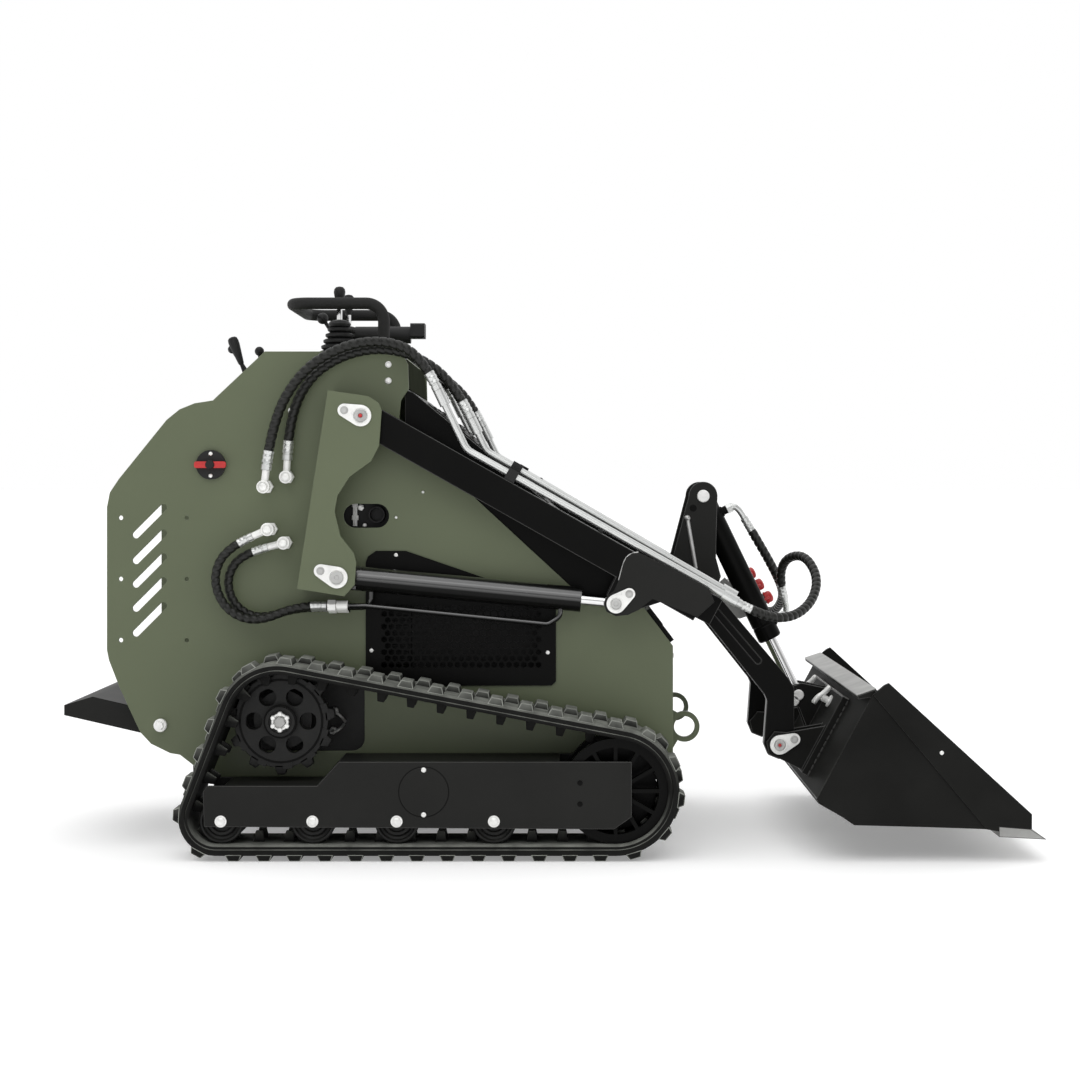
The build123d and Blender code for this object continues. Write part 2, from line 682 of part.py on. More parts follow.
with BuildPart() as lift_rod_left:
    mirror(lift_rod_right.part, about=Plane.XZ)
lift_rod_left.part.label = "lift_rod_left"
export_step(lift_rod_left.part, "parts/lift_rod_left.step")

# Tilt cylinder
TILT_LEN = math.dist(T, Q)
TILT_ANGLE = math.atan2(Q[1] - T[1], Q[0] - T[0])
TILT_DIR = (math.cos(TILT_ANGLE), 0, math.sin(TILT_ANGLE))
TILT_SIDE = Plane(origin=(T[0], TILT_EYE_HALF, T[1]), x_dir=TILT_DIR, z_dir=(0, -1, 0))
TILT_END = Plane(origin=(T[0], 0, T[1]), z_dir=TILT_DIR, x_dir=(0, 1, 0))
TILT_NORMAL = Vector(-TILT_DIR[2], 0, TILT_DIR[0])
PORT_CORNERS = [
    Vector(*TILT_END.from_local_coords((0, 0, place))) + TILT_NORMAL * (PORT_OUT - PORT_R)
    for place in (PORT_BASE_AT, PORT_ROD_AT)
]
PORT_LEGS = [(PORT_CORNERS[0], Vector(*TILT_HOSE_BASE[0])), (PORT_CORNERS[1], Vector(*TILT_HOSE_ROD[-1]))]
with BuildPart() as tilt_barrel:
    with BuildSketch(TILT_END.offset(TILT_BARREL[0])):
        Circle(TILT_BARREL_R)
    extrude(amount=TILT_BARREL[1] - TILT_BARREL[0])
    with BuildSketch(TILT_SIDE.offset(TILT_EYE_HALF - TOWER_IN + SEAT)):
        Circle(LIFT_EYE_R)
    extrude(amount=2 * (TOWER_IN - SEAT))
    with BuildSketch(TILT_SIDE):
        with Locations(((TILT_BARREL[0] + CLEVIS_IN) / 2, 0)):
            Rectangle(TILT_BARREL[0] + CLEVIS_IN, TILT_CLEVIS_W)
    extrude(amount=2 * TILT_EYE_HALF)
    for place in (PORT_BASE_AT, PORT_ROD_AT):
        with BuildSketch(Plane(origin=TILT_END.from_local_coords((0, 0, place)), z_dir=TILT_NORMAL)):
            Circle(PORT_R)
        extrude(amount=PORT_OUT)
    for corner, end in PORT_LEGS:
        with BuildSketch(Plane(origin=corner, z_dir=end - corner)):
            Circle(PORT_R)
        extrude(amount=(end - corner).length - SEAT)
    with BuildSketch(TILT_SIDE.offset(TILT_EYE_HALF - TOWER_IN)):
        Circle(PIN_R + PIN_GAP)
    extrude(amount=2 * TOWER_IN, mode=Mode.SUBTRACT)
    with BuildSketch(TILT_END.offset(TILT_BORE_FROM)):
        Circle(TILT_ROD_R + PIN_GAP)
    extrude(amount=TILT_BARREL[1], mode=Mode.SUBTRACT)
tilt_barrel.part.label = "tilt_barrel"
export_step(tilt_barrel.part, "parts/tilt_barrel.step")

with BuildPart() as tilt_rod:
    with BuildSketch(TILT_END.offset(TILT_ROD_FROM)):
        Circle(TILT_ROD_R)
    extrude(amount=TILT_LEN - TILT_ROD_FROM)
    with BuildSketch(TILT_SIDE):
        with Locations((TILT_LEN, 0)):
            Circle(TILT_EYE_R)
    extrude(amount=2 * TILT_EYE_HALF)
tilt_rod.part.label = "tilt_rod"
export_step(tilt_rod.part, "parts/tilt_rod.step")

# Bucket: the attach plate lies along the bucket's back, with ears for the boom pins and the tilt rod
def on_back(up, behind):
    """A point measured up the bucket's back from its foot and out behind it."""
    x = BACK_FOOT[0] + up * BACK_LEAN[0] - behind * BACK_LEAN[1]
    z = BACK_FOOT[1] + up * BACK_LEAN[1] + behind * BACK_LEAN[0]
    return (x, z)


ATTACH = [
    on_back(ATTACH_UP[0], SEAT), on_back(ATTACH_UP[1], SEAT), on_back(ATTACH_UP[1], SEAT + ATTACH_T),
    on_back(ATTACH_UP[0], SEAT + ATTACH_T),
]
PIVOT_EAR = [
    on_back(25, ATTACH_T), on_back(150, ATTACH_T), (606, 274), (575, 276), (555, 250), (562, 218), (590, 207),
]
ROD_EAR = [
    on_back(110, ATTACH_T), on_back(230, ATTACH_T), (668, 376), (640, 366), (630, 342), (642, 320),
    (662, 312),
]
EAR_GAP = 3.0
PIVOT_EAR_Y = (LOWER_OUT + EAR_GAP, LOWER_IN - EAR_GAP - EAR_T)
ROD_EAR_Y = TILT_EYE_HALF + 5
with BuildPart() as attach_plate:
    with BuildSketch(Plane.XZ.offset(-ATTACH_HALF)):
        Polygon(*ATTACH, align=None)
    extrude(amount=2 * ATTACH_HALF)
    for y in (PIVOT_EAR_Y[0], PIVOT_EAR_Y[1], -PIVOT_EAR_Y[0] - EAR_T, -PIVOT_EAR_Y[1] - EAR_T):
        with BuildSketch(Plane.XZ.offset(y)):
            Polygon(*PIVOT_EAR, align=None)
        extrude(amount=EAR_T)
    for y in (ROD_EAR_Y, -ROD_EAR_Y - EAR_T):
        with BuildSketch(Plane.XZ.offset(y)):
            Polygon(*ROD_EAR, align=None)
        extrude(amount=EAR_T)
    for y in (PIVOT_EAR_Y[1], -PIVOT_EAR_Y[0] - EAR_T):
        with BuildSketch(Plane.XZ.offset(y)):
            with Locations(P):
                Circle(LOWER_PIN_R)
        extrude(amount=PIVOT_EAR_Y[0] - PIVOT_EAR_Y[1] + EAR_T)
attach_plate.part.label = "attach_plate"
export_step(attach_plate.part, "parts/attach_plate.step")

with BuildPart() as bucket_shell:
    with BuildSketch(Plane.XZ.offset(-(BUCKET_HALF - BUCKET_SIDE_T - SEAT))):
        Polygon(*BUCKET_SHELL, align=None)
    extrude(amount=2 * (BUCKET_HALF - BUCKET_SIDE_T - SEAT))
bucket_shell.part.label = "bucket_shell"
export_step(bucket_shell.part, "parts/bucket_shell.step")

with BuildPart() as bucket_sides:
    with BuildSketch(Plane.XZ.offset(BUCKET_HALF - BUCKET_SIDE_T)):
        Polygon(*BUCKET_SIDE, align=None)
        Polygon(*EDGE, align=None, mode=Mode.SUBTRACT)
    extrude(amount=BUCKET_SIDE_T - BUCKET_STRIP_T)
    with BuildSketch(Plane.XZ.offset(BUCKET_HALF - BUCKET_STRIP_T)):
        Polygon(*BUCKET_STRIP, align=None)
        Polygon(*EDGE, align=None, mode=Mode.SUBTRACT)
    extrude(amount=BUCKET_STRIP_T)
    mirror(about=Plane.XZ)
bucket_sides.part.label = "bucket_sides"
export_step(bucket_sides.part, "parts/bucket_sides.step")

with BuildPart() as cutting_edge:
    with BuildSketch(Plane.XZ.offset(-BUCKET_HALF)):
        Polygon(*EDGE, align=None)
    extrude(amount=2 * BUCKET_HALF)
cutting_edge.part.label = "cutting_edge"
export_step(cutting_edge.part, "parts/cutting_edge.step")

# Platform at the rear, on its pivot bolts
PLATFORM_HALF = 300.0
PLATFORM_T = 8.0
PLATFORM_BOLT_OUT = PLATE_OUT + 10
PLATFORM_SIDE = [(-1186, 346), (-1116, 367), (-925, 323), (-920, 300), (-930, 285), (-990, 276), (-1186, 321)]
PLATFORM_FLOOR = [(-1186, 338), (-1186, 346), (-1116, 366), (-985, 336), (-987, 328), (-1116, 357)]
with BuildPart() as platform:
    with BuildSketch(Plane.XZ.offset(PLATFORM_HALF)):
        Polygon(*PLATFORM_SIDE, align=None)
    extrude(amount=PLATFORM_T)
    with BuildSketch(Plane.XZ.offset(-PLATFORM_HALF - PLATFORM_T)):
        Polygon(*PLATFORM_SIDE, align=None)
    extrude(amount=PLATFORM_T)
    with BuildSketch(Plane.XZ.offset(-PLATFORM_HALF)):
        Polygon(*PLATFORM_FLOOR, align=None)
    extrude(amount=2 * PLATFORM_HALF)
    with BuildSketch(Plane.XZ.offset(PLATFORM_HALF)):
        with Locations(PLATFORM_PIVOT):
            Circle(PLATFORM_BOLT_R)
    extrude(amount=PLATFORM_BOLT_OUT - PLATFORM_HALF)
    with BuildSketch(Plane.XZ.offset(-PLATFORM_BOLT_OUT)):
        with Locations(PLATFORM_PIVOT):
            Circle(PLATFORM_BOLT_R)
    extrude(amount=PLATFORM_BOLT_OUT - PLATFORM_HALF)
platform.part.label = "platform"
export_step(platform.part, "parts/platform.step")

# Controls on the console: the levers stand on the sloped dash
CONTROL_Z = DECK_TOP + SEAT
BAR_R = 15.0
BAR_BEND = 45.0
BAR_Y = 190.0
BAR_Z = 1350.0
BAR_X = (-640, -405)
with BuildPart() as handlebar:
    with BuildLine():
        FilletPolyline(
            (BAR_X[1], -BAR_Y, CONTROL_Z), (BAR_X[1], -BAR_Y, BAR_Z), (BAR_X[0], -BAR_Y, BAR_Z),
            (BAR_X[0], BAR_Y, BAR_Z), (BAR_X[1], BAR_Y, BAR_Z), (BAR_X[1], BAR_Y, CONTROL_Z), radius=BAR_BEND,
        )
    with BuildSketch(Plane.XY.offset(CONTROL_Z)):
        with Locations((BAR_X[1], -BAR_Y)):
            Circle(BAR_R)
    sweep()
handlebar.part.label = "handlebar"
export_step(handlebar.part, "parts/handlebar.step")

JOY_X = -525.0
JOY_Y = 115.0
JOY_TOP = 1400.0
BOOT_R = 52.0
BOOT_NECK_R = 26.0
BOOT_TOP = 1312.0
STICK_R = 7.0
KNOB_Z = 1350.0
KNOB_R = 15.0
with BuildPart() as joysticks:
    for y in (-JOY_Y, JOY_Y):
        with BuildSketch(Plane((JOY_X, y, 0), x_dir=(1, 0, 0), z_dir=(0, -1, 0))):
            Polygon(
                (0, CONTROL_Z), (BOOT_R, CONTROL_Z), (BOOT_R, CONTROL_Z + 8), (BOOT_NECK_R, BOOT_TOP),
                (STICK_R, BOOT_TOP + 6), (STICK_R, KNOB_Z), (KNOB_R, KNOB_Z + 12), (KNOB_R, JOY_TOP - 6),
                (KNOB_R - 7, JOY_TOP), (0, JOY_TOP), align=None,
            )
        revolve(axis=Axis((JOY_X, y, 0), (0, 0, 1)))
    for foot, top, y, knob_r in LEVERS:
        low = Vector(foot[0], y, foot[1])
        high = Vector(top[0], y, top[1])
        with BuildSketch(Plane(origin=low, z_dir=high - low)):
            Circle(LEVER_SHAFT_R)
        extrude(amount=(high - low).length - LEVER_KNOB_LEN)
        with BuildSketch(Plane(origin=high, z_dir=low - high)):
            Circle(knob_r)
        extrude(amount=LEVER_KNOB_LEN)
joysticks.part.label = "joysticks"
export_step(joysticks.part, "parts/joysticks.step")

# Tracks: the two halves of the width carry their lugs half a pitch apart
RUN = [(IDLER, IDLER_R), (SPROCKET, SPROCKET_WRAP), (CORNER, CORNER_R)]
with BuildPart() as track_right:
    for y_from, y_to, phase in ((TRACK_IN, TRACK_MID, 0.0), (TRACK_MID, TRACK_OUT, 0.5)):
        with BuildSketch(Plane.XZ.offset(y_from)):
            for place, radius in RUN:
                with Locations(place):
                    Circle(radius + BELT_T)
            make_hull()
            for x, z, angle in track_points(PITCH, BELT_T, phase, (LUG_H - LUG_ROOT) / 2):
                with Locations(Location((x, z), angle)):
                    Rectangle(LUG_H + LUG_ROOT, LUG_L)
        extrude(amount=y_to - y_from)
    with BuildSketch(Plane.XZ.offset(TRACK_IN)):
        for place, radius in RUN:
            with Locations(place):
                Circle(radius)
        make_hull()
    extrude(amount=TRACK_OUT - TRACK_IN, mode=Mode.SUBTRACT)
    for y_from in (TRACK_MID - GUIDE_Y[1], TRACK_MID + GUIDE_Y[0]):
        with BuildSketch(Plane.XZ.offset(y_from)):
            for x, z, angle in track_points(PITCH, 0, GUIDE_PHASE, (LUG_ROOT - GUIDE_H) / 2):
                with Locations(Location((x, z), angle)):
                    Rectangle(GUIDE_H + LUG_ROOT, GUIDE_L)
        extrude(amount=GUIDE_Y[1] - GUIDE_Y[0])
track_right.part.label = "track_right"
export_step(track_right.part, "parts/track_right.step")

with BuildPart() as track_left:
    mirror(track_right.part, about=Plane.XZ)
track_left.part.label = "track_left"
export_step(track_left.part, "parts/track_left.step")

with BuildPart() as track_frame_right:
    with BuildSketch(Plane.XZ.offset(FRAME_OUT - FRAME_T)):
        Polygon(*FRAME_SIDE, align=None)
    extrude(amount=FRAME_T)
    with BuildSketch(Plane.XZ.offset(FRAME_IN)):
        Polygon(*FRAME_SIDE, align=None)
    extrude(amount=FRAME_T)
    with BuildSketch(Plane.XZ.offset(FRAME_IN)):
        Polygon((-482, 228), (40, 228), (40, 236), (-482, 236), align=None)
        Polygon((-533, 171), (-482, 228), (-482, 236), (-533, 179), align=None)
        Polygon((-755, 171), (-533, 171), (-533, 179), (-755, 179), align=None)
    extrude(amount=FRAME_OUT - FRAME_IN)
    with BuildSketch(Plane.XZ.offset(PLATE_OUT + SEAT)):
        Polygon((-420, 176), (-340, 176), (-340, 228), (-420, 228), align=None)
        Polygon((-60, 176), (20, 176), (20, 228), (-60, 228), align=None)
    extrude(amount=FRAME_IN - PLATE_OUT - SEAT)
track_frame_right.part.label = "track_frame_right"
export_step(track_frame_right.part, "parts/track_frame_right.step")

with BuildPart() as track_frame_left:
    mirror(track_frame_right.part, about=Plane.XZ)
track_frame_left.part.label = "track_frame_left"
export_step(track_frame_left.part, "parts/track_frame_left.step")

with BuildPart() as rollers_right:
    for x in ROLLER_X:
        for y_from, y_to in (ROLLER_IN, ROLLER_OUT):
            with BuildSketch(Plane.XZ.offset(y_from)):
                with Locations((x, ROLLER_Z)):
                    Circle(ROLLER_R)
            extrude(amount=y_to - y_from)
        with BuildSketch(Plane.XZ.offset(FRAME_IN + FRAME_T + SEAT)):
            with Locations((x, ROLLER_Z)):
                Circle(AXLE_R)
        extrude(amount=FRAME_OUT - FRAME_IN - 2 * FRAME_T - 2 * SEAT)
rollers_right.part.label = "rollers_right"
export_step(rollers_right.part, "parts/rollers_right.step")

with BuildPart() as rollers_left:
    mirror(rollers_right.part, about=Plane.XZ)
rollers_left.part.label = "rollers_left"
export_step(rollers_left.part, "parts/rollers_left.step")

IDLER_RIM = 22.0
IDLER_HUB = 34.0
SPOKES = 12
SPOKE_W = 9.0
SPOKE_ROOT = 12.0
IDLER_AXLE_R = 28.0
IDLER_WEB_R = 100.0
IDLER_WEB_HALF = 6.0
with BuildPart() as idler_right:
    for y_from, y_to in (ROLLER_IN, ROLLER_OUT):
        with BuildSketch(Plane.XZ.offset(y_from)):
            with Locations(IDLER):
                Circle(IDLER_R - SEAT)
                Circle(IDLER_R - IDLER_RIM, mode=Mode.SUBTRACT)
                Circle(IDLER_HUB)
            for k in range(SPOKES):
                turn = 360 / SPOKES * k
                out = (IDLER_HUB + IDLER_R - IDLER_RIM) / 2
                x = IDLER[0] + out * math.cos(math.radians(turn))
                z = IDLER[1] + out * math.sin(math.radians(turn))
                with Locations(Location((x, z), turn)):
                    Rectangle(IDLER_R - IDLER_RIM - IDLER_HUB + SPOKE_ROOT, SPOKE_W)
        extrude(amount=y_to - y_from)
    with BuildSketch(Plane.XZ.offset(TRACK_MID - IDLER_WEB_HALF)):
        with Locations(IDLER):
            Circle(IDLER_WEB_R)
    extrude(amount=2 * IDLER_WEB_HALF)
    with BuildSketch(Plane.XZ.offset(FRAME_IN + FRAME_T + SEAT)):
        with Locations(IDLER):
            Circle(IDLER_AXLE_R)
    extrude(amount=FRAME_OUT - FRAME_IN - 2 * FRAME_T - 2 * SEAT)
idler_right.part.label = "idler_right"
export_step(idler_right.part, "parts/idler_right.step")

with BuildPart() as idler_left:
    mirror(idler_right.part, about=Plane.XZ)
idler_left.part.label = "idler_left"
export_step(idler_left.part, "parts/idler_left.step")

TEETH = 11
ROOT_R = 98.0
TOOTH_R = 108.5
TOOTH_ROOT = 14.0
TOOTH_W = 22.0
SPROCKET_HALF = 16.0
SPROCKET_Y = (TRACK_MID - SPROCKET_HALF, TRACK_MID + SPROCKET_HALF)
SPROCKET_HUB_R = 37.0
SPROCKET_HUB_T = 14.0
SPROCKET_HOLE_R = 21.0
SPROCKET_HOLE_AT = 65.0
with BuildPart() as sprocket_right:
    with BuildSketch(Plane.XZ.offset(SPROCKET_Y[0])):
        with Locations(SPROCKET):
            Circle(ROOT_R)
        for k in range(TEETH):
            turn = math.radians(360 / TEETH * (k + 0.5))
            x = SPROCKET[0] + (ROOT_R + TOOTH_R) / 2 * math.cos(turn)
            z = SPROCKET[1] + (ROOT_R + TOOTH_R) / 2 * math.sin(turn)
            with Locations(Location((x, z), math.degrees(turn))):
                Rectangle(TOOTH_R - ROOT_R + TOOTH_ROOT, TOOTH_W)
        with Locations(SPROCKET):
            with PolarLocations(SPROCKET_HOLE_AT, 6):
                Circle(SPROCKET_HOLE_R, mode=Mode.SUBTRACT)
    extrude(amount=SPROCKET_Y[1] - SPROCKET_Y[0])
    with BuildSketch(Plane.XZ.offset(SPROCKET_Y[1])):
        with Locations(SPROCKET):
            Circle(SPROCKET_HUB_R)
    extrude(amount=SPROCKET_HUB_T)
sprocket_right.part.label = "sprocket_right"
export_step(sprocket_right.part, "parts/sprocket_right.step")

with BuildPart() as sprocket_left:
    mirror(sprocket_right.part, about=Plane.XZ)
sprocket_left.part.label = "sprocket_left"
export_step(sprocket_left.part, "parts/sprocket_left.step")

MOTOR_R = 70.0
MOTOR_BACK_R = 60.0
MOTOR_PLATE_T = 10.0
MOTOR_PLATE_RIM = 20.0
MOTOR_FROM = 190.0
MOTOR_PLATE_Y = PLATE_IN - SEAT - MOTOR_PLATE_T
with BuildPart() as drive_motor_right:
    with BuildSketch(Plane.XZ.offset(MOTOR_PLATE_Y)):
        with Locations(MOTOR_OPENING):
            Rectangle(MOTOR_OPENING_W + 2 * MOTOR_PLATE_RIM, MOTOR_OPENING_H + 2 * MOTOR_PLATE_RIM)
    extrude(amount=MOTOR_PLATE_T)
    with BuildSketch(Plane.XZ.offset(MOTOR_PLATE_Y)):
        with Locations(SPROCKET):
            Circle(MOTOR_R)
    extrude(amount=SPROCKET_Y[0] - SEAT - MOTOR_PLATE_Y)
    with BuildSketch(Plane.XZ.offset(MOTOR_FROM)):
        with Locations(SPROCKET):
            Circle(MOTOR_BACK_R)
    extrude(amount=MOTOR_PLATE_Y - MOTOR_FROM)
drive_motor_right.part.label = "drive_motor_right"
export_step(drive_motor_right.part, "parts/drive_motor_right.step")

with BuildPart() as drive_motor_left:
    mirror(drive_motor_right.part, about=Plane.XZ)
drive_motor_left.part.label = "drive_motor_left"
export_step(drive_motor_left.part, "parts/drive_motor_left.step")

# Oil tubes on the boom arms
TUBE_ROUTES = [
    [(top[0], -y, top[1]), (knee[0], -y, knee[1]), (end[0], -y, end[1])]
    for y, top, knee, end in zip(TUBE_Y, TUBE_TOP, TUBE_KNEE, TUBE_END)
]
with BuildPart() as boom_tubes:
    for route in TUBE_ROUTES:
        start, knee, end = (Vector(*point) for point in route)
        first = (knee - start).normalized()
        last = (end - knee).normalized()
        with BuildLine():
            FilletPolyline(start + first * SEAT, knee, end - last * SEAT, radius=TUBE_BEND)
        with BuildSketch(Plane(origin=start + first * SEAT, z_dir=first)):
            Circle(TUBE_R)
        sweep()
        with BuildSketch(Plane(origin=start + first * SEAT, z_dir=first)):
            Circle(TUBE_COLLAR_R)
        extrude(amount=TUBE_COLLAR_LEN)
        with BuildSketch(Plane(origin=end - last * SEAT, z_dir=-last)):
            Circle(TUBE_COLLAR_R)
        extrude(amount=TUBE_COLLAR_LEN)
    mirror(about=Plane.XZ)
boom_tubes.part.label = "boom_tubes"
export_step(boom_tubes.part, "parts/boom_tubes.step")


def tube_height(route, along):
    """How far a tube's centre lies above the arm's top at a distance along the arm."""
    knee, end = route[1], route[2]
    base_x = A[0] + along * ARM_COS - ARM_HALF_H * ARM_SIN
    base_z = A[1] + along * ARM_SIN + ARM_HALF_H * ARM_COS
    slope = (end[2] - knee[2]) / (end[0] - knee[0])
    gap = knee[2] + slope * (base_x - knee[0]) - base_z
    return gap / (ARM_COS - slope * -ARM_SIN)


with BuildPart() as tube_clamps:
    for along, length, wall in CLAMPS:
        for route in TUBE_ROUTES:
            height = tube_height(route, along)
            foot = Plane(
                origin=(
                    A[0] + along * ARM_COS - ARM_HALF_H * ARM_SIN, route[0][1],
                    A[1] + along * ARM_SIN + ARM_HALF_H * ARM_COS,
                ),
                x_dir=(ARM_COS, 0, ARM_SIN), z_dir=(-ARM_SIN, 0, ARM_COS),
            )
            with BuildSketch(foot.offset(SEAT)):
                Rectangle(length, 2 * (TUBE_R + wall))
            extrude(amount=height + TUBE_R + wall - SEAT)
    for route in TUBE_ROUTES:
        knee, end = Vector(*route[1]), Vector(*route[2])
        with BuildSketch(Plane(origin=knee, z_dir=end - knee)):
            Circle(TUBE_R + SEAT)
        extrude(amount=(end - knee).length, mode=Mode.SUBTRACT)
    mirror(about=Plane.XZ)
tube_clamps.part.label = "tube_clamps"
export_step(tube_clamps.part, "parts/tube_clamps.step")

# Hoses: each tube starts and ends square to its first and last run
with BuildPart() as boom_hoses:
    for name, route in (("boom hose outer", BOOM_HOSE_OUTER), ("boom hose inner", BOOM_HOSE_INNER)):
        with BuildLine():
            FilletPolyline(*route, radius=hose_radii(name, route))
        with BuildSketch(Plane(origin=route[0], z_dir=Vector(*route[1]) - Vector(*route[0]))):
            Circle(BOOM_HOSE_R)
        sweep()
    mirror(about=Plane.XZ)
boom_hoses.part.label = "boom_hoses"
export_step(boom_hoses.part, "parts/boom_hoses.step")

with BuildPart() as lift_hoses_right:
    for name, route in (("lift hose outer", LIFT_HOSE_OUTER), ("lift hose inner", LIFT_HOSE_INNER)):
        with BuildLine():
            FilletPolyline(*route, radius=hose_radii(name, route))
        with BuildSketch(Plane(origin=route[0], z_dir=Vector(*route[1]) - Vector(*route[0]))):
            Circle(LIFT_HOSE_R)
        sweep()
lift_hoses_right.part.label = "lift_hoses_right"
export_step(lift_hoses_right.part, "parts/lift_hoses_right.step")

with BuildPart() as lift_hoses_left:
    mirror(lift_hoses_right.part, about=Plane.XZ)
lift_hoses_left.part.label = "lift_hoses_left"
export_step(lift_hoses_left.part, "parts/lift_hoses_left.step")

with BuildPart() as tilt_hoses:
    for name, route in (("tilt hose rod end", TILT_HOSE_ROD), ("tilt hose base end", TILT_HOSE_BASE)):
        with BuildLine():
            FilletPolyline(*route, radius=hose_radii(name, route))
        with BuildSketch(Plane(origin=route[0], z_dir=Vector(*route[1]) - Vector(*route[0]))):
            Circle(TILT_HOSE_R)
        sweep()
tilt_hoses.part.label = "tilt_hoses"
export_step(tilt_hoses.part, "parts/tilt_hoses.step")

with BuildPart() as hose_fittings:
    for place, out, direction in FITTINGS:
        with BuildSketch(Plane.XZ.offset(PLATE_OUT + SEAT)):
            with Locations(place):
                RegularPolygon(FITTING_NUT_R, 6)
        extrude(amount=FITTING_NUT_T)
        with BuildSketch(Plane.XZ.offset(PLATE_OUT + SEAT)):
            with Locations(place):
                Circle(FITTING_STEM_R)
        extrude(amount=out + FITTING_HEAD - PLATE_OUT - SEAT)
        away = (math.cos(math.radians(direction)), 0, math.sin(math.radians(direction)))
        with BuildSketch(Plane(origin=(place[0], -out, place[1]), z_dir=away)):
            Circle(FITTING_R)
        extrude(amount=FITTING_LEN - SEAT)
    mirror(about=Plane.XZ)
hose_fittings.part.label = "hose_fittings"
export_step(hose_fittings.part, "parts/hose_fittings.step")

# Couplers and their caps, square to the tilt cylinder
with BuildPart() as couplers:
    with BuildSketch(Plane.XZ.offset(COUPLER_BRACKET_Y[0])):
        Polygon(*COUPLER_BRACKET, align=None)
    extrude(amount=COUPLER_BRACKET_Y[1] - COUPLER_BRACKET_Y[0])
    for x, z in COUPLERS:
        with BuildSketch(Plane(origin=(x, COUPLER_Y, z), z_dir=TILT_NORMAL)):
            RegularPolygon(COUPLER_R, 6)
        extrude(amount=COUPLER_LEN)
couplers.part.label = "couplers"
export_step(couplers.part, "parts/couplers.step")

with BuildPart() as coupler_caps:
    for x, z in COUPLERS:
        cap_foot = Plane(origin=(x, COUPLER_Y, z), z_dir=TILT_NORMAL).offset(COUPLER_LEN + SEAT)
        with BuildSketch(cap_foot):
            Circle(CAP_R)
        extrude(amount=CAP_LEN)
coupler_caps.part.label = "coupler_caps"
export_step(coupler_caps.part, "parts/coupler_caps.step")

# Battery switch on the right side plate
with BuildPart() as battery_switch:
    with BuildSketch(Plane.XZ.offset(PLATE_OUT + SEAT)):
        with Locations(SWITCH):
            Circle(SWITCH_R)
    extrude(amount=SWITCH_T)
battery_switch.part.label = "battery_switch"
export_step(battery_switch.part, "parts/battery_switch.step")

with BuildPart() as switch_handle:
    with BuildSketch(Plane.XZ.offset(PLATE_OUT + SWITCH_T + 2 * SEAT)):
        with Locations(SWITCH):
            RectangleRounded(SWITCH_HANDLE[0], SWITCH_HANDLE[1], SWITCH_HANDLE[1] / 3)
    extrude(amount=SWITCH_HANDLE[2])
switch_handle.part.label = "switch_handle"
export_step(switch_handle.part, "parts/switch_handle.step")

# Instrument housing on its foot, with the lamp at its front
with BuildPart() as instrument_housing:
    with BuildSketch(Plane.YZ.offset(HOUSING_X[0])):
        with Locations((HOUSING_Y, HOUSING_Z)):
            Circle(HOUSING_R)
    extrude(amount=HOUSING_X[1] - HOUSING_X[0])
    with BuildSketch(Plane.XY.offset(CONTROL_Z)):
        with Locations(((HOUSING_X[0] + HOUSING_X[1]) / 2, HOUSING_Y)):
            Rectangle(*HOUSING_FOOT)
    extrude(amount=HOUSING_Z - CONTROL_Z)
    with BuildSketch(Plane.YZ.offset(LAMP_X[0])):
        with Locations((HOUSING_Y, (LAMP_Z[0] + LAMP_Z[1]) / 2)):
            RectangleRounded(2 * LAMP_HALF, LAMP_Z[1] - LAMP_Z[0], 6)
    extrude(amount=LAMP_X[1] - LAMP_X[0])
instrument_housing.part.label = "instrument_housing"
export_step(instrument_housing.part, "parts/instrument_housing.step")
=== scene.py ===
import json
from bisect import bisect
from math import acos, atan2, ceil, copysign, cos, hypot, pi, radians, sin

import bmesh
import bpy
from mathutils import Matrix, Vector


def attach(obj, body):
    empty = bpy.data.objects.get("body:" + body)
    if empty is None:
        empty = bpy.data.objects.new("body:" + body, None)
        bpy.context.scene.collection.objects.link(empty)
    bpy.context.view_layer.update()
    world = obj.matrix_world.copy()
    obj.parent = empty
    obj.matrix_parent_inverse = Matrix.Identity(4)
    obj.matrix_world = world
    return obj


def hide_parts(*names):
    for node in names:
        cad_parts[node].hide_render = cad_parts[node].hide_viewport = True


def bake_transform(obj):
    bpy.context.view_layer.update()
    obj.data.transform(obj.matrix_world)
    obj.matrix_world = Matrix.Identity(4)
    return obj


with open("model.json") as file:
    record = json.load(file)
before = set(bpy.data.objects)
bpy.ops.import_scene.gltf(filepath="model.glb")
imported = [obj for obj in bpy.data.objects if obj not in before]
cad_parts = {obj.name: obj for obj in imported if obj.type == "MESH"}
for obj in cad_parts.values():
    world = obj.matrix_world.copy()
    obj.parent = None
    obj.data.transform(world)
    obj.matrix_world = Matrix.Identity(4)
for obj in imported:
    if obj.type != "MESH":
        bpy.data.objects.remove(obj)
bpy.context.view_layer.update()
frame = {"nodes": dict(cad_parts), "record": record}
NODES = frame["nodes"]
MM = 0.001
SIDES = (("right", -1), ("left", 1))
# Material index of a mesh's plain faces and of its bevelled edges, which take a lighter colour as a painted
# highlight
FACE_SLOT, HIGHLIGHT_SLOT = 0, 1


def add_object(name, data):
    """A new object in the scene."""
    obj = bpy.data.objects.new(name, data)
    bpy.context.collection.objects.link(obj)
    return obj


# Camera at the photograph's angle: level, square on to the machine's right side
camera_data = bpy.data.cameras.new("camera")
camera_data.lens = 70.63
camera_data.sensor_width = 36.0
camera_data.shift_x = -0.0231
camera_data.shift_y = -0.05
camera = add_object("camera", camera_data)
camera.location = (0.053, -5.55, 0.888)
camera.rotation_euler = (radians(90), 0, 0)
bpy.context.scene.camera = camera
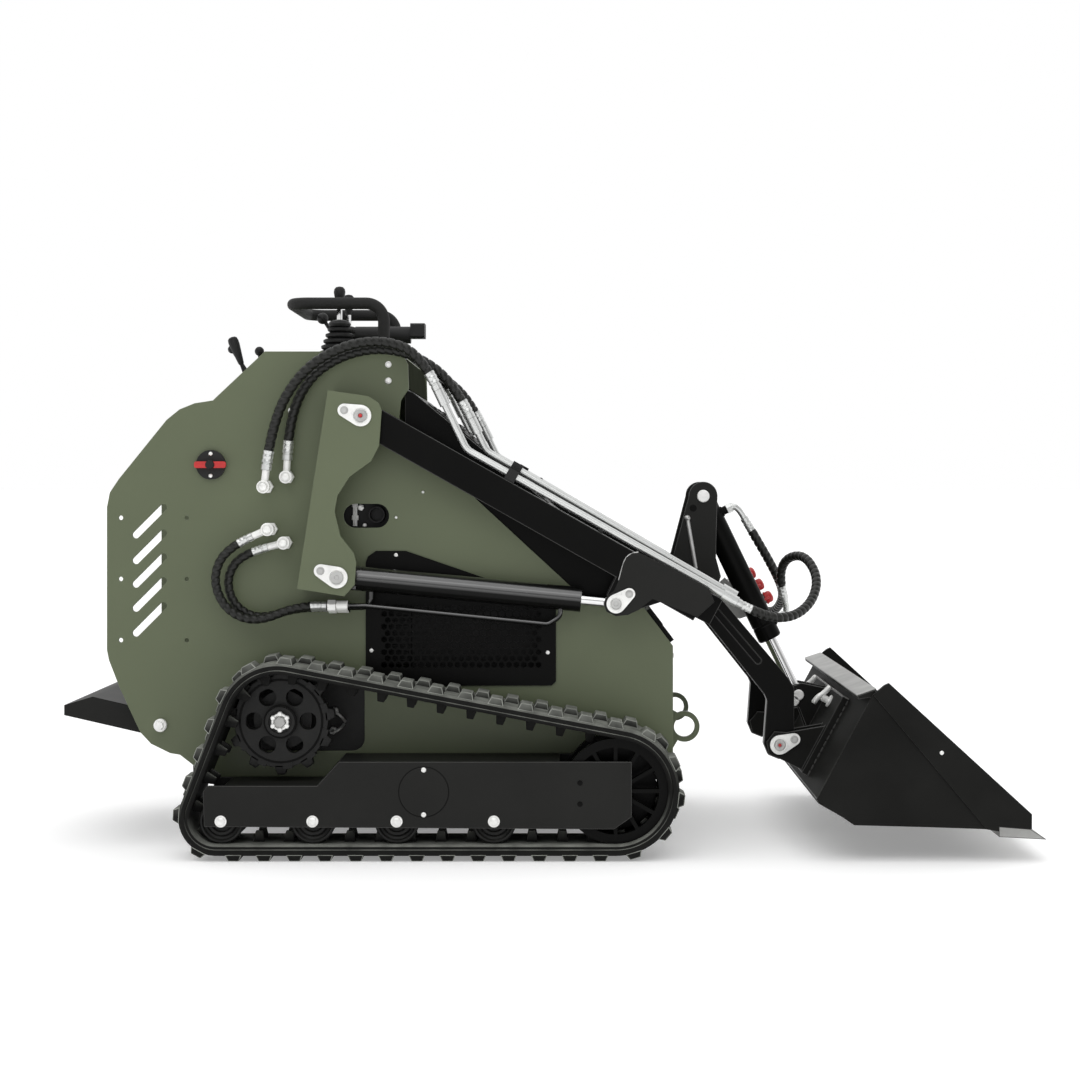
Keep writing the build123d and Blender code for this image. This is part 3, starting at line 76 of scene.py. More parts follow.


# Materials: sockets of a colour mix node, the colour of dust and painted top light, and the slopes between
# which the shine fades on undersides as painted shade
MIX_SHARE, MIX_FIRST, MIX_SECOND, MIX_RESULT = 0, 6, 7, 2
DUST_AND_TOP_LIGHT_COLOR = (0.29, 0.30, 0.27, 1)
SHADED_UNDERSIDE_FADE = (-0.15, 0.05)


def map_range(tree, from_min, from_max, to_min, to_max):
    """A node that turns one range of values into another."""
    node = tree.nodes.new("ShaderNodeMapRange")
    node.inputs["From Min"].default_value = from_min
    node.inputs["From Max"].default_value = from_max
    node.inputs["To Min"].default_value = to_min
    node.inputs["To Max"].default_value = to_max
    return node


def new_material(name, color, rough, patches, grain=(0.05, 400), metallic=0.0, rough_vary=0.1, dust_and_top_light=0.0,
                 specular=0.5, coat=0.0, shaded_underside_shine=None):
    """A surface with patches of lighter colour and gloss, a fine grain and, if given, a lighter colour on
    what faces up, for dust and painted top light.

    Patches and grain are a strength and a scale each. Where a share for undersides is given, faces that point
    down keep only that share of the shine, as painted shade.
    """
    vary, scale = patches
    bump, bump_scale = grain
    material = bpy.data.materials.new(name)
    material.use_nodes = True
    tree = material.node_tree
    add, link = tree.nodes.new, tree.links.new
    shader = tree.nodes["Principled BSDF"]
    shader.inputs["Metallic"].default_value = metallic
    shader.inputs["Specular IOR Level"].default_value = specular
    shader.inputs["Coat Weight"].default_value = coat
    place = add("ShaderNodeTexCoord")
    broad = add("ShaderNodeTexNoise")
    broad.inputs["Scale"].default_value = scale
    broad.inputs["Detail"].default_value = 6.0
    link(place.outputs["Object"], broad.inputs["Vector"])
    ramp = add("ShaderNodeValToRGB")
    ramp.color_ramp.elements[0].position = 0.3
    ramp.color_ramp.elements[1].position = 0.7
    ramp.color_ramp.elements[0].color = [c * (1 - vary) for c in color] + [1]
    ramp.color_ramp.elements[1].color = [min(1.0, c * (1 + vary)) for c in color] + [1]
    link(broad.outputs["Fac"], ramp.inputs["Fac"])
    base = ramp.outputs["Color"]
    fine = add("ShaderNodeTexNoise")
    fine.inputs["Scale"].default_value = bump_scale
    fine.inputs["Detail"].default_value = 3.0
    link(place.outputs["Object"], fine.inputs["Vector"])
    if dust_and_top_light:
        geometry = add("ShaderNodeNewGeometry")
        split = add("ShaderNodeSeparateXYZ")
        link(geometry.outputs["Normal"], split.inputs["Vector"])
        up = add("ShaderNodeMath")
        up.operation = "MULTIPLY"
        up.use_clamp = True
        link(split.outputs["Z"], up.inputs[0])
        link(broad.outputs["Fac"], up.inputs[1])
        amount = add("ShaderNodeMath")
        amount.operation = "MULTIPLY"
        amount.inputs[1].default_value = dust_and_top_light
        link(up.outputs[0], amount.inputs[0])
        mix = add("ShaderNodeMix")
        mix.data_type = "RGBA"
        mix.inputs[MIX_SECOND].default_value = DUST_AND_TOP_LIGHT_COLOR
        link(amount.outputs[0], mix.inputs[MIX_SHARE])
        link(base, mix.inputs[MIX_FIRST])
        base = mix.outputs[MIX_RESULT]
    link(base, shader.inputs["Base Color"])
    gloss = map_range(tree, 0.0, 1.0, max(0.02, rough - rough_vary), min(1.0, rough + rough_vary))
    link(broad.outputs["Fac"], gloss.inputs["Value"])
    link(gloss.outputs["Result"], shader.inputs["Roughness"])
    relief = add("ShaderNodeBump")
    relief.inputs["Strength"].default_value = bump
    relief.inputs["Distance"].default_value = 0.001
    link(fine.outputs["Fac"], relief.inputs["Height"])
    link(relief.outputs["Normal"], shader.inputs["Normal"])
    # Painted shade: faces that point down lose most of their shine
    if shaded_underside_shine is not None:
        facing = add("ShaderNodeNewGeometry")
        split = add("ShaderNodeSeparateXYZ")
        link(facing.outputs["Normal"], split.inputs["Vector"])
        for socket, full in (("Specular IOR Level", specular), ("Coat Weight", coat)):
            fade = map_range(tree, *SHADED_UNDERSIDE_FADE, full * shaded_underside_shine, full)
            link(split.outputs["Z"], fade.inputs["Value"])
            link(fade.outputs["Result"], shader.inputs[socket])
    return material


GREEN = new_material("green_paint", (0.112, 0.132, 0.076), 0.45, (0.05, 3), (0.06, 700), dust_and_top_light=0.08,
                     specular=0.35)
BLACK = new_material("black_paint", (0.0135, 0.0135, 0.0125), 0.5, (0.15, 5), (0.08, 600), dust_and_top_light=0.05,
                     specular=0.15)
# Gloss black paint, which also serves as painted shade on the idlers and in the holes
GLOSS_AND_PAINTED_SHADE = new_material("gloss_black_and_painted_shade", (0.0032, 0.0032, 0.0030), 0.32, (0.2, 5), (0.05, 600), dust_and_top_light=0.01,
                     specular=0.07)
# The barrels keep little shine on what faces down: painted shade under their lit tops
BARREL = new_material("cylinder_black", (0.004, 0.004, 0.0038), 0.28, (0.2, 8), (0.02, 600),
                      rough_vary=0.05, specular=1, coat=1, shaded_underside_shine=0.08)
# The rubber's large dust share is partly painted top light: it lightens the tops of the lugs as if lit from
# above
RUBBER = new_material("rubber", (0.0065, 0.0065, 0.006), 0.7, (0.3, 25), (0.3, 300), dust_and_top_light=1.3,
                      specular=0.14)
HOSE = new_material("hose_guard", (0.0075, 0.0079, 0.0064), 0.36, (0.2, 40), (0.1, 500), specular=0.35)
FOAM = new_material("grip_foam", (0.010, 0.010, 0.0095), 0.65, (0.2, 60), (0.35, 900), specular=0.3)
ZINC = new_material("zinc", (0.88, 0.88, 0.86), 0.32, (0.08, 60), (0.04, 900), metallic=0.25)
TUBE = new_material("plated_tube", (0.66, 0.67, 0.66), 0.28, (0.03, 20), (0.02, 900), metallic=0.8,
                    rough_vary=0.03)
CHROME = new_material("chrome", (0.75, 0.75, 0.75), 0.1, (0.04, 30), (0.02, 900), metallic=1,
                      rough_vary=0.04)
STEEL = new_material("bare_steel", (0.50, 0.50, 0.49), 0.4, (0.2, 18), (0.1, 350), metallic=0.7)
PLASTIC = new_material("black_plastic", (0.010, 0.010, 0.010), 0.5, (0.15, 40), (0.12, 900), specular=0.3)
WORN = new_material("worn_steel", (0.34, 0.34, 0.33), 0.45, (0.25, 14), (0.15, 300), metallic=0.6)
CAST = new_material("cast_iron", (0.009, 0.009, 0.0085), 0.5, (0.3, 30), (0.25, 250), dust_and_top_light=0.1,
                    specular=0.25)
RED = new_material("red_plastic", (0.5, 0.02, 0.02), 0.4, (0.1, 50), (0.05, 700))

BUCKET = new_material("bucket_black", (0.014, 0.014, 0.0133), 0.55, (0.2, 5), (0.1, 500), dust_and_top_light=0.04,
                      specular=0.03)
CONSOLE = new_material("console_dark", (0.028, 0.031, 0.022), 0.6, (0.15, 9), (0.08, 600), specular=0)
# Lighter green and black on bevelled edges: painted highlights; the black one is also the colour of the
# bucket's welds
GREEN_EDGE_HIGHLIGHT = new_material("green_edge_highlight", (0.19, 0.22, 0.14), 0.45, (0.1, 9), specular=0.35)
BLACK_HIGHLIGHT_AND_WELD = new_material("black_highlight_and_weld", (0.036, 0.036, 0.034), 0.4, (0.2, 9), specular=0.4)
# Lighter rubber on the lugs' bevelled edges: a painted highlight
RUBBER_EDGE_HIGHLIGHT = new_material("rubber_edge_highlight", (0.22, 0.228, 0.205), 0.6, (0.35, 20), (0.2, 300))

# Materials of each slot: the first is the plain one of the slot's solids
SLOT_MATERIALS = {
    "green_paint": (GREEN,), "black_paint": (BLACK, GLOSS_AND_PAINTED_SHADE, CONSOLE, BLACK_HIGHLIGHT_AND_WELD), "rubber": (RUBBER, HOSE),
    "bare_steel": (STEEL, ZINC, TUBE, WORN), "rod_chrome": (CHROME,), "black_plastic": (PLASTIC,),
    "cast_iron": (CAST,), "red_plastic": (RED,),
}
NODE_MATERIAL = {
    "handlebar": FOAM, "boom_tubes": TUBE, "hose_fittings": ZINC, "couplers": WORN, "cutting_edge": WORN,
    "bucket_shell": BUCKET, "bucket_sides": BUCKET, "attach_plate": BUCKET, "boom_crossmember": GLOSS_AND_PAINTED_SHADE,
    "hood": GLOSS_AND_PAINTED_SHADE, "tilt_barrel": BARREL,
}
for side, sign in SIDES:
    # The idlers take the darker gloss black as painted shade; the arms, lower arms and grilles are gloss
    # black paint
    for name in ("idler_", "boom_arm_", "lower_arm_", "grille_"):
        NODE_MATERIAL[name + side] = GLOSS_AND_PAINTED_SHADE
    NODE_MATERIAL["lift_barrel_" + side] = BARREL
for part in frame["record"]["subparts"]:
    node = NODES[part["node"]]
    node.data.materials.clear()
    plain = SLOT_MATERIALS[part["material_slot"]][0]
    node.data.materials.append(NODE_MATERIAL.get(part["node"], plain))


# Mesh helpers: places are in millimetres, and a finished piece is in metres
def piece(name, bm, material, body="chassis", sharp=35, edges=None):
    """Turns a mesh in millimetres into a named piece with its material's slot, on a body unless that is None.

    Faces with the second material index take the edges material, a lighter colour painted on bevelled edges
    as a highlight.
    """
    bmesh.ops.transform(bm, matrix=Matrix.Scale(MM, 4), verts=bm.verts)
    bmesh.ops.recalc_face_normals(bm, faces=bm.faces)
    mesh = bpy.data.meshes.new(name)
    bm.to_mesh(mesh)
    bm.free()
    mesh.shade_smooth()
    mesh.set_sharp_from_angle(angle=radians(sharp))
    mesh.materials.append(material)
    if edges:
        mesh.materials.append(edges)
    obj = add_object(name, mesh)
    if body:
        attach(obj, body)
    return obj


def at(place, y):
    """The point at an (x, z) place and a distance across the machine."""
    return (place[0], y, place[1])


def bridge(bm, rings, closed=True):
    """Joins each ring of points to the next, and fills the first and the last ring if closed."""
    for low, high in zip(rings, rings[1:]):
        count = max(len(low), len(high))
        for k in range(count):
            corners = [low[k % len(low)], low[(k + 1) % len(low)],
                       high[(k + 1) % len(high)], high[k % len(high)]]
            bm.faces.new(list(dict.fromkeys(corners)))
    if closed:
        for end in (rings[0], rings[-1]):
            if len(end) > 2:
                bm.faces.new(end)


def turned(bm, origin, axis, profile, segments):
    """Rings of points around an axis, one for each (distance along it, radius); radius 0 gives one point."""
    origin = Vector(origin)
    axis = Vector(axis).normalized()
    side = axis.orthogonal().normalized()
    up = axis.cross(side)
    angles = [2 * pi * k / segments for k in range(segments)]
    rings = []
    for along, radius in profile:
        centre = origin + axis * along
        if radius == 0:
            rings.append([bm.verts.new(centre)])
            continue
        rings.append([bm.verts.new(centre + (side * cos(a) + up * sin(a)) * radius) for a in angles])
    return rings


def lathe(bm, origin, axis, profile, segments):
    """A turned shape from (distance along the axis, radius) pairs."""
    bridge(bm, turned(bm, origin, axis, profile, segments))


def ring(bm, origin, axis, profile, segments):
    """A turned ring: as lathe, but the profile goes around a closed section."""
    rings = turned(bm, origin, axis, profile, segments)
    bridge(bm, rings + [rings[0]], closed=False)


def hex_bolt(bm, origin, axis, radius, height):
    """A hexagon head with a chamfered top, on a washer."""
    thick = height * 0.22
    rim = radius * 1.3
    lathe(bm, origin, axis, [(0, rim), (thick * 0.75, rim), (thick, rim * 0.95)], 28)
    head = Vector(origin) + Vector(axis).normalized() * thick
    lathe(bm, head, axis, [(0, radius), (height * 0.62, radius), (height * 0.78, radius * 0.88)], 6)


def dome_bolt(bm, origin, axis, radius, height):
    """A low domed head."""
    lathe(bm, origin, axis, [(0, radius), (height * 0.35, radius), (height * 0.7, radius * 0.83),
                             (height * 0.92, radius * 0.5), (height, 0)], 24)


def plate(bm, outline, y_from, y_to, edge):
    """A plate of an (x, z) outline between two y places, with edges softened by the width edge."""
    low = [bm.verts.new((x, y_from, z)) for x, z in outline]
    high = [bm.verts.new((x, y_to, z)) for x, z in outline]
    before = set(bm.edges)
    bridge(bm, [low, high])
    if edge:
        edges = [e for e in bm.edges if e not in before and e.verts[0].co.y == e.verts[1].co.y]
        bmesh.ops.bevel(bm, geom=edges, offset=edge, segments=2, profile=0.6, affect="EDGES")


def rounded(u_from, u_to, v_from, v_to, radius, steps=5):
    """Outline of a rectangle with rounded corners."""
    outline = []
    for u, v, start in ((u_to - radius, v_to - radius, 0), (u_from + radius, v_to - radius, 90),
                        (u_from + radius, v_from + radius, 180), (u_to - radius, v_from + radius, 270)):
        for k in range(steps + 1):
            a = radians(start + 90 * k / steps)
            outline.append((u + radius * cos(a), v + radius * sin(a)))
    return outline


def taper(bm, place, angle, layers, edge, highlight_slot=FACE_SLOT):
    """A block with softened edges that points out from an (x, z) place at an angle.

    Each layer is a distance out, a half length and two y places.
    """
    out = Vector((cos(angle), 0, sin(angle)))
    along = Vector((-sin(angle), 0, cos(angle)))
    rings = []
    for height, half, y_from, y_to in layers:
        centre = Vector(at(place, 0)) + out * height
        corners = ((-half, y_from), (half, y_from), (half, y_to), (-half, y_to))
        rings.append([bm.verts.new(centre + along * u + Vector((0, y, 0))) for u, y in corners])
    before = set(bm.edges)
    bridge(bm, rings)
    edges = [e for e in bm.edges if e not in before]
    bmesh.ops.bevel(bm, geom=edges, offset=edge, segments=2, profile=0.5, affect="EDGES",
                    material=highlight_slot)


def box_outline(xs, zs):
    """Outline of a rectangle between two x and two z places."""
    return [(xs[0], zs[0]), (xs[1], zs[0]), (xs[1], zs[1]), (xs[0], zs[1])]


def panel(bm, foot, along, outline, low, high, slope):
    """A plate on a plane that holds the Y direction: the outline is (along, y), heights are out from it."""
    foot, along = Vector(foot), Vector(along).normalized()
    out = along.cross(Vector((0, 1, 0)))
    mid_u = sum(u for u, v in outline) / len(outline)
    mid_v = sum(v for u, v in outline) / len(outline)
    rings = []
    for height, inset in ((low, 0.0), (high - slope, 0.0), (high, slope)):
        ring_verts = []
        for u, v in outline:
            u -= copysign(inset, u - mid_u)
            v -= copysign(inset, v - mid_v)
            ring_verts.append(bm.verts.new(foot + along * u + Vector((0, v, 0)) + out * height))
        rings.append(ring_verts)
    bridge(bm, rings)


def teardrop(first, r_first, second, r_second, steps=20):
    """Outline around two circles of different size and the straight lines that touch both."""
    dx, dz = second[0] - first[0], second[1] - first[1]
    span = hypot(dx, dz)
    along = atan2(dz, dx)
    spread = acos((r_first - r_second) / span)
    outline = []
    for centre, radius, start, turn in ((first, r_first, along + spread, 2 * pi - 2 * spread),
                                        (second, r_second, along - spread, 2 * spread)):
        for k in range(steps + 1):
            a = start + turn * k / steps
            outline.append((centre[0] + radius * cos(a), centre[1] + radius * sin(a)))
    return outline


class Path:
    """A line of points with lengths along it and a frame that doesn't twist."""

    def __init__(self, points):
        self.points = points
        self.along = [0.0]
        for a, b in zip(points, points[1:]):
            self.along.append(self.along[-1] + (b - a).length)
        self.length = self.along[-1]
        self.tangents = []
        for i in range(len(points)):
            ahead = points[min(i + 1, len(points) - 1)] - points[max(i - 1, 0)]
            self.tangents.append(ahead.normalized())
        self.sides = []
        side = self.tangents[0].orthogonal()
        for tangent in self.tangents:
            side = (side - tangent * side.dot(tangent)).normalized()
            self.sides.append(side)

    def spot(self, s, radius, angle):
        """The point at a length along the line, out from it by a radius at an angle."""
        s = min(max(s, 0.0), self.length)
        i = min(bisect(self.along, s) - 1, len(self.points) - 2)
        share = (s - self.along[i]) / (self.along[i + 1] - self.along[i])
        centre = self.points[i].lerp(self.points[i + 1], share)
        tangent = self.tangents[i].lerp(self.tangents[i + 1], share).normalized()
        side = self.sides[i].lerp(self.sides[i + 1], share)
        side = (side - tangent * side.dot(tangent)).normalized()
        up = tangent.cross(side)
        return centre + (side * cos(angle) + up * sin(angle)) * radius


def sweep(bm, path, profile, segments):
    """A round shape along a line: the profile is (length along the line, radius) pairs."""
    angles = [2 * pi * k / segments for k in range(segments)]
    bridge(bm, [[bm.verts.new(path.spot(s, radius, a)) for a in angles] for s, radius in profile])


def bar(bm, path, radius, steps, segments):
    """A round bar of one thickness along a line."""
    sweep(bm, path, [(path.length * k / steps, radius) for k in range(steps + 1)], segments)


def route(points):
    """The line of a smooth spline that has the given points as its control points, in millimetres."""
    curve = bpy.data.curves.new("route", "CURVE")
    curve.dimensions = "3D"
    curve.resolution_u = 40
    spline = curve.splines.new("NURBS")
    spline.points.add(len(points) - 1)
    for control, place in zip(spline.points, points):
        control.co = (place[0], place[1], place[2], 1)
    spline.order_u = 3
    spline.use_endpoint_u = True
    holder = bpy.data.objects.new("route", curve)
    mesh = bpy.data.meshes.new_from_object(holder)
    line = [v.co.copy() for v in mesh.vertices]
    bpy.data.objects.remove(holder)
    bpy.data.curves.remove(curve)
    bpy.data.meshes.remove(mesh)
    return Path(line)


def spiral_guard(bm, path, radius, guard, bare, pitch, segments=20):
    """A hose in a spiral guard of grooved bands, which leaves a bare length at each end."""
    depth = guard * GROOVE
    bands = ((0.0, depth), (0.08, depth * 0.2), (0.45, 0.0), (0.84, depth * 0.2), (0.92, depth))
    rows = []
    for turn in range(-1, ceil(path.length / pitch) + 1):
        for share, dip in bands:
            row = []
            for k in range(segments):
                s = pitch * (turn + share + k / segments)
                reach = guard - dip if bare < s < path.length - bare else radius - depth
                row.append(bm.verts.new(path.spot(s, reach, 2 * pi * k / segments)))
            rows.append(row)
    ahead = len(bands)
    for i in range(len(rows) - 1):
        for k in range(segments - 1):
            bm.faces.new((rows[i][k], rows[i + 1][k], rows[i + 1][k + 1], rows[i][k + 1]))
        if i + 1 + ahead < len(rows):
            last = segments - 1
            bm.faces.new((rows[i][last], rows[i + 1][last], rows[i + 1 + ahead][0], rows[i + ahead][0]))
    bmesh.ops.remove_doubles(bm, verts=bm.verts, dist=0.01)
    bmesh.ops.dissolve_degenerate(bm, edges=bm.edges, dist=0.01)
    bmesh.ops.holes_fill(bm, edges=[e for e in bm.edges if e.is_boundary], sides=0)


def on_side(points, sign):
    """A route of the right side, or its mirror image on the left."""
    return [(x, -sign * y, z) for x, y, z in points]


# Hoses, on the routes of the solids between the two bodies that each joins, with sleeves that ride on those
# bodies
BOOM_OUTER = [(-672.5, -408, 926.7), (-658, -408, 1045), (-590, -410, 1165), (-490, -412, 1228),
              (-385, -414, 1243), (-295.2, -420, 1206.2), (-254.2, -420, 1120.5)]
BOOM_INNER = [(-624.6, -381, 951), (-620, -381, 1050), (-572, -381, 1155), (-480, -382, 1213),
              (-375, -384, 1226), (-278, -385, 1190), (-212, -385, 1125), (-176, -385, 1052.6)]
LIFT_OUTER = [(-704.5, -412, 766.2), (-769.6, -412, 737.7), (-802, -412, 664), (-772, -412, 588),
              (-697, -412, 555), (-590, -412, 600), (-525, -412, 597.5)]
LIFT_INNER = [(-670.7, -390, 739.1), (-738.5, -390, 721.6), (-772.7, -390, 660.2), (-751.8, -390, 593.1),
              (-688.8, -390, 561.9), (-592, -390, 595), (-525, -390, 592)]
TILT_ROD = [(470, -420, 606.7), (535.3, -420, 569.9), (612, -366, 566), (668, -295, 602), (690, -222, 660),
            (664, -145, 714), (622, -70, 702), (611, -24, 646), (627, -10, 593)]
TILT_BASE = [(522, 6, 804.6), (568, 19, 730), (612, 55, 655), (638, 130, 605), (639.9, 207, 570),
             (627.1, 285.2, 540.2), (593.1, 363, 544.4), (535.3, 420, 569.9), (470, 420, 606.7)]
BOOM_HOSE_R = 11.0
HOSE_R = 9.0
HOSES_Y = 400
BOOM_GUARD_R = 12.5
LIFT_GUARD_R = 11.0
TILT_GUARD_R = 12.0
GROOVE = 0.2
# Length of one turn of each spiral guard
BOOM_TURN, LIFT_TURN, TILT_TURN = 19.0, 18.0, 17.0
# Length of a sleeve in hose radii, and the share of it in which the hose is bare
SLEEVE_LENGTH = 4.4
BARE_SHARE = 0.96
FERRULE_SHAPE = ((0, 0.62), (0.01, 1.18), (0.26, 1.18), (0.29, 1.05), (0.35, 1.05), (0.38, 1.22),
                 (0.5, 1.22), (0.53, 1.14), (0.59, 1.14), (0.62, 1.22), (0.74, 1.22), (0.77, 1.14),
                 (0.82, 1.14), (0.85, 1.22), (0.97, 1.22), (1.0, 1.0))


def ferrule(bm, path, radius, from_start):
    """A crimped sleeve on one end of a hose, from shares of its length and of the hose's radius."""
    length = SLEEVE_LENGTH * radius
    rings = [(s * length if from_start else path.length - s * length, r * radius) for s, r in FERRULE_SHAPE]
    sweep(bm, path, rings, 24)


def hose(name, node, points, radius, guard, pitch, bodies):
    """A hose piece that stands for its solid, and the sleeves on its two ends."""
    path = route(points)
    bm = bmesh.new()
    spiral_guard(bm, path, radius, guard, BARE_SHARE * SLEEVE_LENGTH * radius, pitch)
    tube = piece(name, bm, HOSE, None, sharp=60)
    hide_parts(node)
    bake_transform(tube)
    for tag, from_start, body in (("a", True, bodies[2]), ("b", False, bodies[3])):
        bm = bmesh.new()
        ferrule(bm, path, radius, from_start)
        piece(name + "_sleeve_" + tag, bm, TUBE, body)


for side, sign in SIDES:
    y = sign * HOSES_Y
    barrel = "lift_barrel_" + side
    for tag, points in (("outer", BOOM_OUTER), ("inner", BOOM_INNER)):
        hose("boom_hose_" + tag + "_" + side, "boom_hoses", on_side(points, sign), BOOM_HOSE_R, BOOM_GUARD_R,
             BOOM_TURN, ("chassis", "boom", "chassis", "boom"))
    for tag, points in (("outer", LIFT_OUTER), ("inner", LIFT_INNER)):
        hose("lift_hose_" + tag + "_" + side, "lift_hoses_" + side, on_side(points, sign), HOSE_R,
             LIFT_GUARD_R, LIFT_TURN, ("chassis", barrel, "chassis", barrel))
hose("tilt_hose_rod", "tilt_hoses", TILT_ROD, HOSE_R, TILT_GUARD_R, TILT_TURN,
     ("boom", "tilt_barrel", "boom", "tilt_barrel"))
hose("tilt_hose_base", "tilt_hoses", TILT_BASE, HOSE_R, TILT_GUARD_R, TILT_TURN,
     ("boom", "tilt_barrel", "tilt_barrel", "boom"))

# Tracks: a belt with a ribbed edge, staggered tapered lugs outside and guide lugs inside
TRACK_MID = 460.0
TRACK_HALF = 90.0
# Heights of the belt's outer face and of the lugs' tops over the inner line
BELT = 26.0
TREAD = 40.0
TRACK_PITCH = 72.0
BELT_STEPS = 260
# Lugs: half lengths, depth in the belt, softened edge, and rows (place in the pitch, two y places, leans)
LUG_FOOT, LUG_TOP, LUG_SUNK, LUG_EDGE = 20, 13, 3, 2.2
LUG_ROWS = ((0, 1 - TRACK_HALF, -3, 9, 4), (0.5, 3, TRACK_HALF - 1, 4, 9))
# Guide lugs on the inner side
GUIDE_FOOT, GUIDE_TOP, GUIDE_SUNK, GUIDE_HEIGHT, GUIDE_EDGE = 14, 8, 2, 26, 2.0
GUIDE_ROWS, GUIDE_WIDTH, GUIDE_LEAN = (-40, 22), 18, 3
TRACK_WHEELS = ((173, 165, 125.0), (-627, 325, 118.0), (-771, 104, 64.0))
BELT_PROFILE = ((-86, 0), (86, 0), (90, 4), (90, 8), (88, 10), (90, 12), (90, 20), (85, 26), (-85, 26),
                (-90, 20), (-90, 12), (-88, 10), (-90, 8), (-90, 4))


def track_run():
    """The belt's inner line around the three wheels, as arcs and lines with their lengths."""
    spans = list(zip(TRACK_WHEELS, TRACK_WHEELS[1:] + TRACK_WHEELS[:1]))
    normals = []
    for (x0, z0, r0), (x1, z1, r1) in spans:
        normals.append(atan2(z1 - z0, x1 - x0) - acos((r0 - r1) / hypot(x1 - x0, z1 - z0)))
    run = []
    for i, ((x0, z0, r0), (x1, z1, r1)) in enumerate(spans):
        turn = (normals[i] - normals[i - 1]) % (2 * pi)
        run.append(("arc", r0 * turn, x0, z0, r0, normals[i - 1]))
        nx, nz = cos(normals[i]), sin(normals[i])
        a = Vector((x0 + r0 * nx, z0 + r0 * nz))
        b = Vector((x1 + r1 * nx, z1 + r1 * nz))
        run.append(("line", (b - a).length, a, b, normals[i], 0))
    return run


TRACK_RUN = track_run()
TRACK_LENGTH = sum(stretch[1] for stretch in TRACK_RUN)


def track_place(s):
    """Place (x, z) on the belt's inner line and the outward angle there."""
    s %= TRACK_LENGTH
    for kind, length, a, b, c, d in TRACK_RUN:
        if s <= length:
            break
        s -= length
    if kind == "arc":
        angle = d + s / c
        return a + c * cos(angle), b + c * sin(angle), angle
    place = a.lerp(b, min(s / length, 1.0))
    return place.x, place.y, c


for side, sign in SIDES:
    bm = bmesh.new()
    rings = []
    for k in range(BELT_STEPS):
        x, z, angle = track_place(TRACK_LENGTH * k / BELT_STEPS)
        rings.append([bm.verts.new((x + h * cos(angle), sign * (TRACK_MID + w), z + h * sin(angle)))
                      for w, h in BELT_PROFILE])
    bridge(bm, rings + [rings[0]], closed=False)
    count = round(TRACK_LENGTH / TRACK_PITCH)
    step = TRACK_LENGTH / count
    for k in range(count):
        s = TRACK_LENGTH * k / count
        for shift, low, high, low_lean, high_lean in LUG_ROWS:
            near, far = sign * (TRACK_MID + low), sign * (TRACK_MID + high)
            x, z, angle = track_place(s + step * shift)
            layers = ((BELT - LUG_SUNK, LUG_FOOT, near, far),
                      (TREAD, LUG_TOP, near + sign * low_lean, far - sign * high_lean))
            # The outer lugs' softened edges take the lighter rubber, a painted highlight; the guide lugs'
            # edges keep the plain rubber
            taper(bm, (x, z), angle, layers, LUG_EDGE, HIGHLIGHT_SLOT)
        x, z, angle = track_place(s + step / 4)
        for low in GUIDE_ROWS:
            near, far = sign * (TRACK_MID + low), sign * (TRACK_MID + low + GUIDE_WIDTH)
            layers = ((GUIDE_SUNK, GUIDE_FOOT, near, far),
                      (-GUIDE_HEIGHT, GUIDE_TOP, near + sign * GUIDE_LEAN, far - sign * GUIDE_LEAN))
            taper(bm, (x, z), angle, layers, GUIDE_EDGE)
    belt = piece("track_belt_" + side, bm, RUBBER, sharp=30, edges=RUBBER_EDGE_HIGHLIGHT)
    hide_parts("track_" + side)

# Faces of the solids that carry small fittings, and the places of pins, openings and fittings
PLATE_Y = 355.3
FRAME_Y = 541.0
BRACKET_Y = 457.0
ARM_Y = 439.0
EAR_Y = 268.0
TOWER_Y = 80.0
INSIDE_Y = 346.6
KEEPER_T = 6.0
PIN_A, KEEPER_A = (-438, 1057), (-477, 1070)
PIN_B, KEEPER_B = (-495, 668), (-534, 684)
PIN_R, KEEPER_R = (176, 604), (208, 628)
PIN_P, KEEPER_P = (588, 243), (624, 257)
PLATE_BOLTS = ((-380, 1186, 8), (-380, 1146, 8), (-619, 1073, 7), (-421, 485, 7), (11, 480, 7),
               (-361, 719, 7), (-295, 873, 3.6), (-361, 811, 3.6))
PLATFORM_PIVOT = (-938, 302)
SWITCH = (-814, 940)
FITTING_T = 9.8
SWITCH_BOLT_OUT = 27.0
SWITCH_HANDLE_Y = 377.0
ROLLERS = (-761, -544, -345, -115)
ROLLER_Z = 93.3
ROLLER_SHAPE = [(0, 20), (0, 50), (2, 53), (22, 53), (25, 50), (25, 46), (16, 43), (14, 38), (20, 33),
                (20, 27), (14, 24), (14, 20)]
ROLLER_BOLT_Z = 95.0
ROLLER_GAP = 45.0
ROLLER_AXLE_HALF = 72.0
FRAME_COVER = (-281, 164.5)
FRAME_COVER_BOLTS_Z = (217, 111)
FRAME_HOLES = ((88.5, 186), (88.5, 136))
KNEE = [(183, 661), (193, 700), (201, 716), (214, 726), (230, 728), (318, 686), (400, 641), (413, 608),
        (372, 571), (264, 617), (232, 590), (205, 577), (176, 574), (153, 585), (146, 604), (155, 624),
        (172, 634)]
KNEE_T = 4.0
KNEE_WELDED = 5
TOWER_PIN = (410, 862)
TOWER_HOLE = (384, 831)
TOWER_ROD = ((391, 674), (369, 805))
TOWER_ROD_OUT = 4.0
MOTOR_OPENING = (-800, -440, 240, 450)
MOTOR_OPENING_R = 30
CLOSING_LIP = 6
CLOSING_LIP_T = 0.6
CLOSING_Y = (346.8, 354.6)
LEFT_OPEN = ((-740, 400), (-715, 434))
MOTOR_ELBOWS = ((-512, 336, -16), (-516, 288, 10))
SPROCKET = (-627, 325)
SPROCKET_TEETH = 11
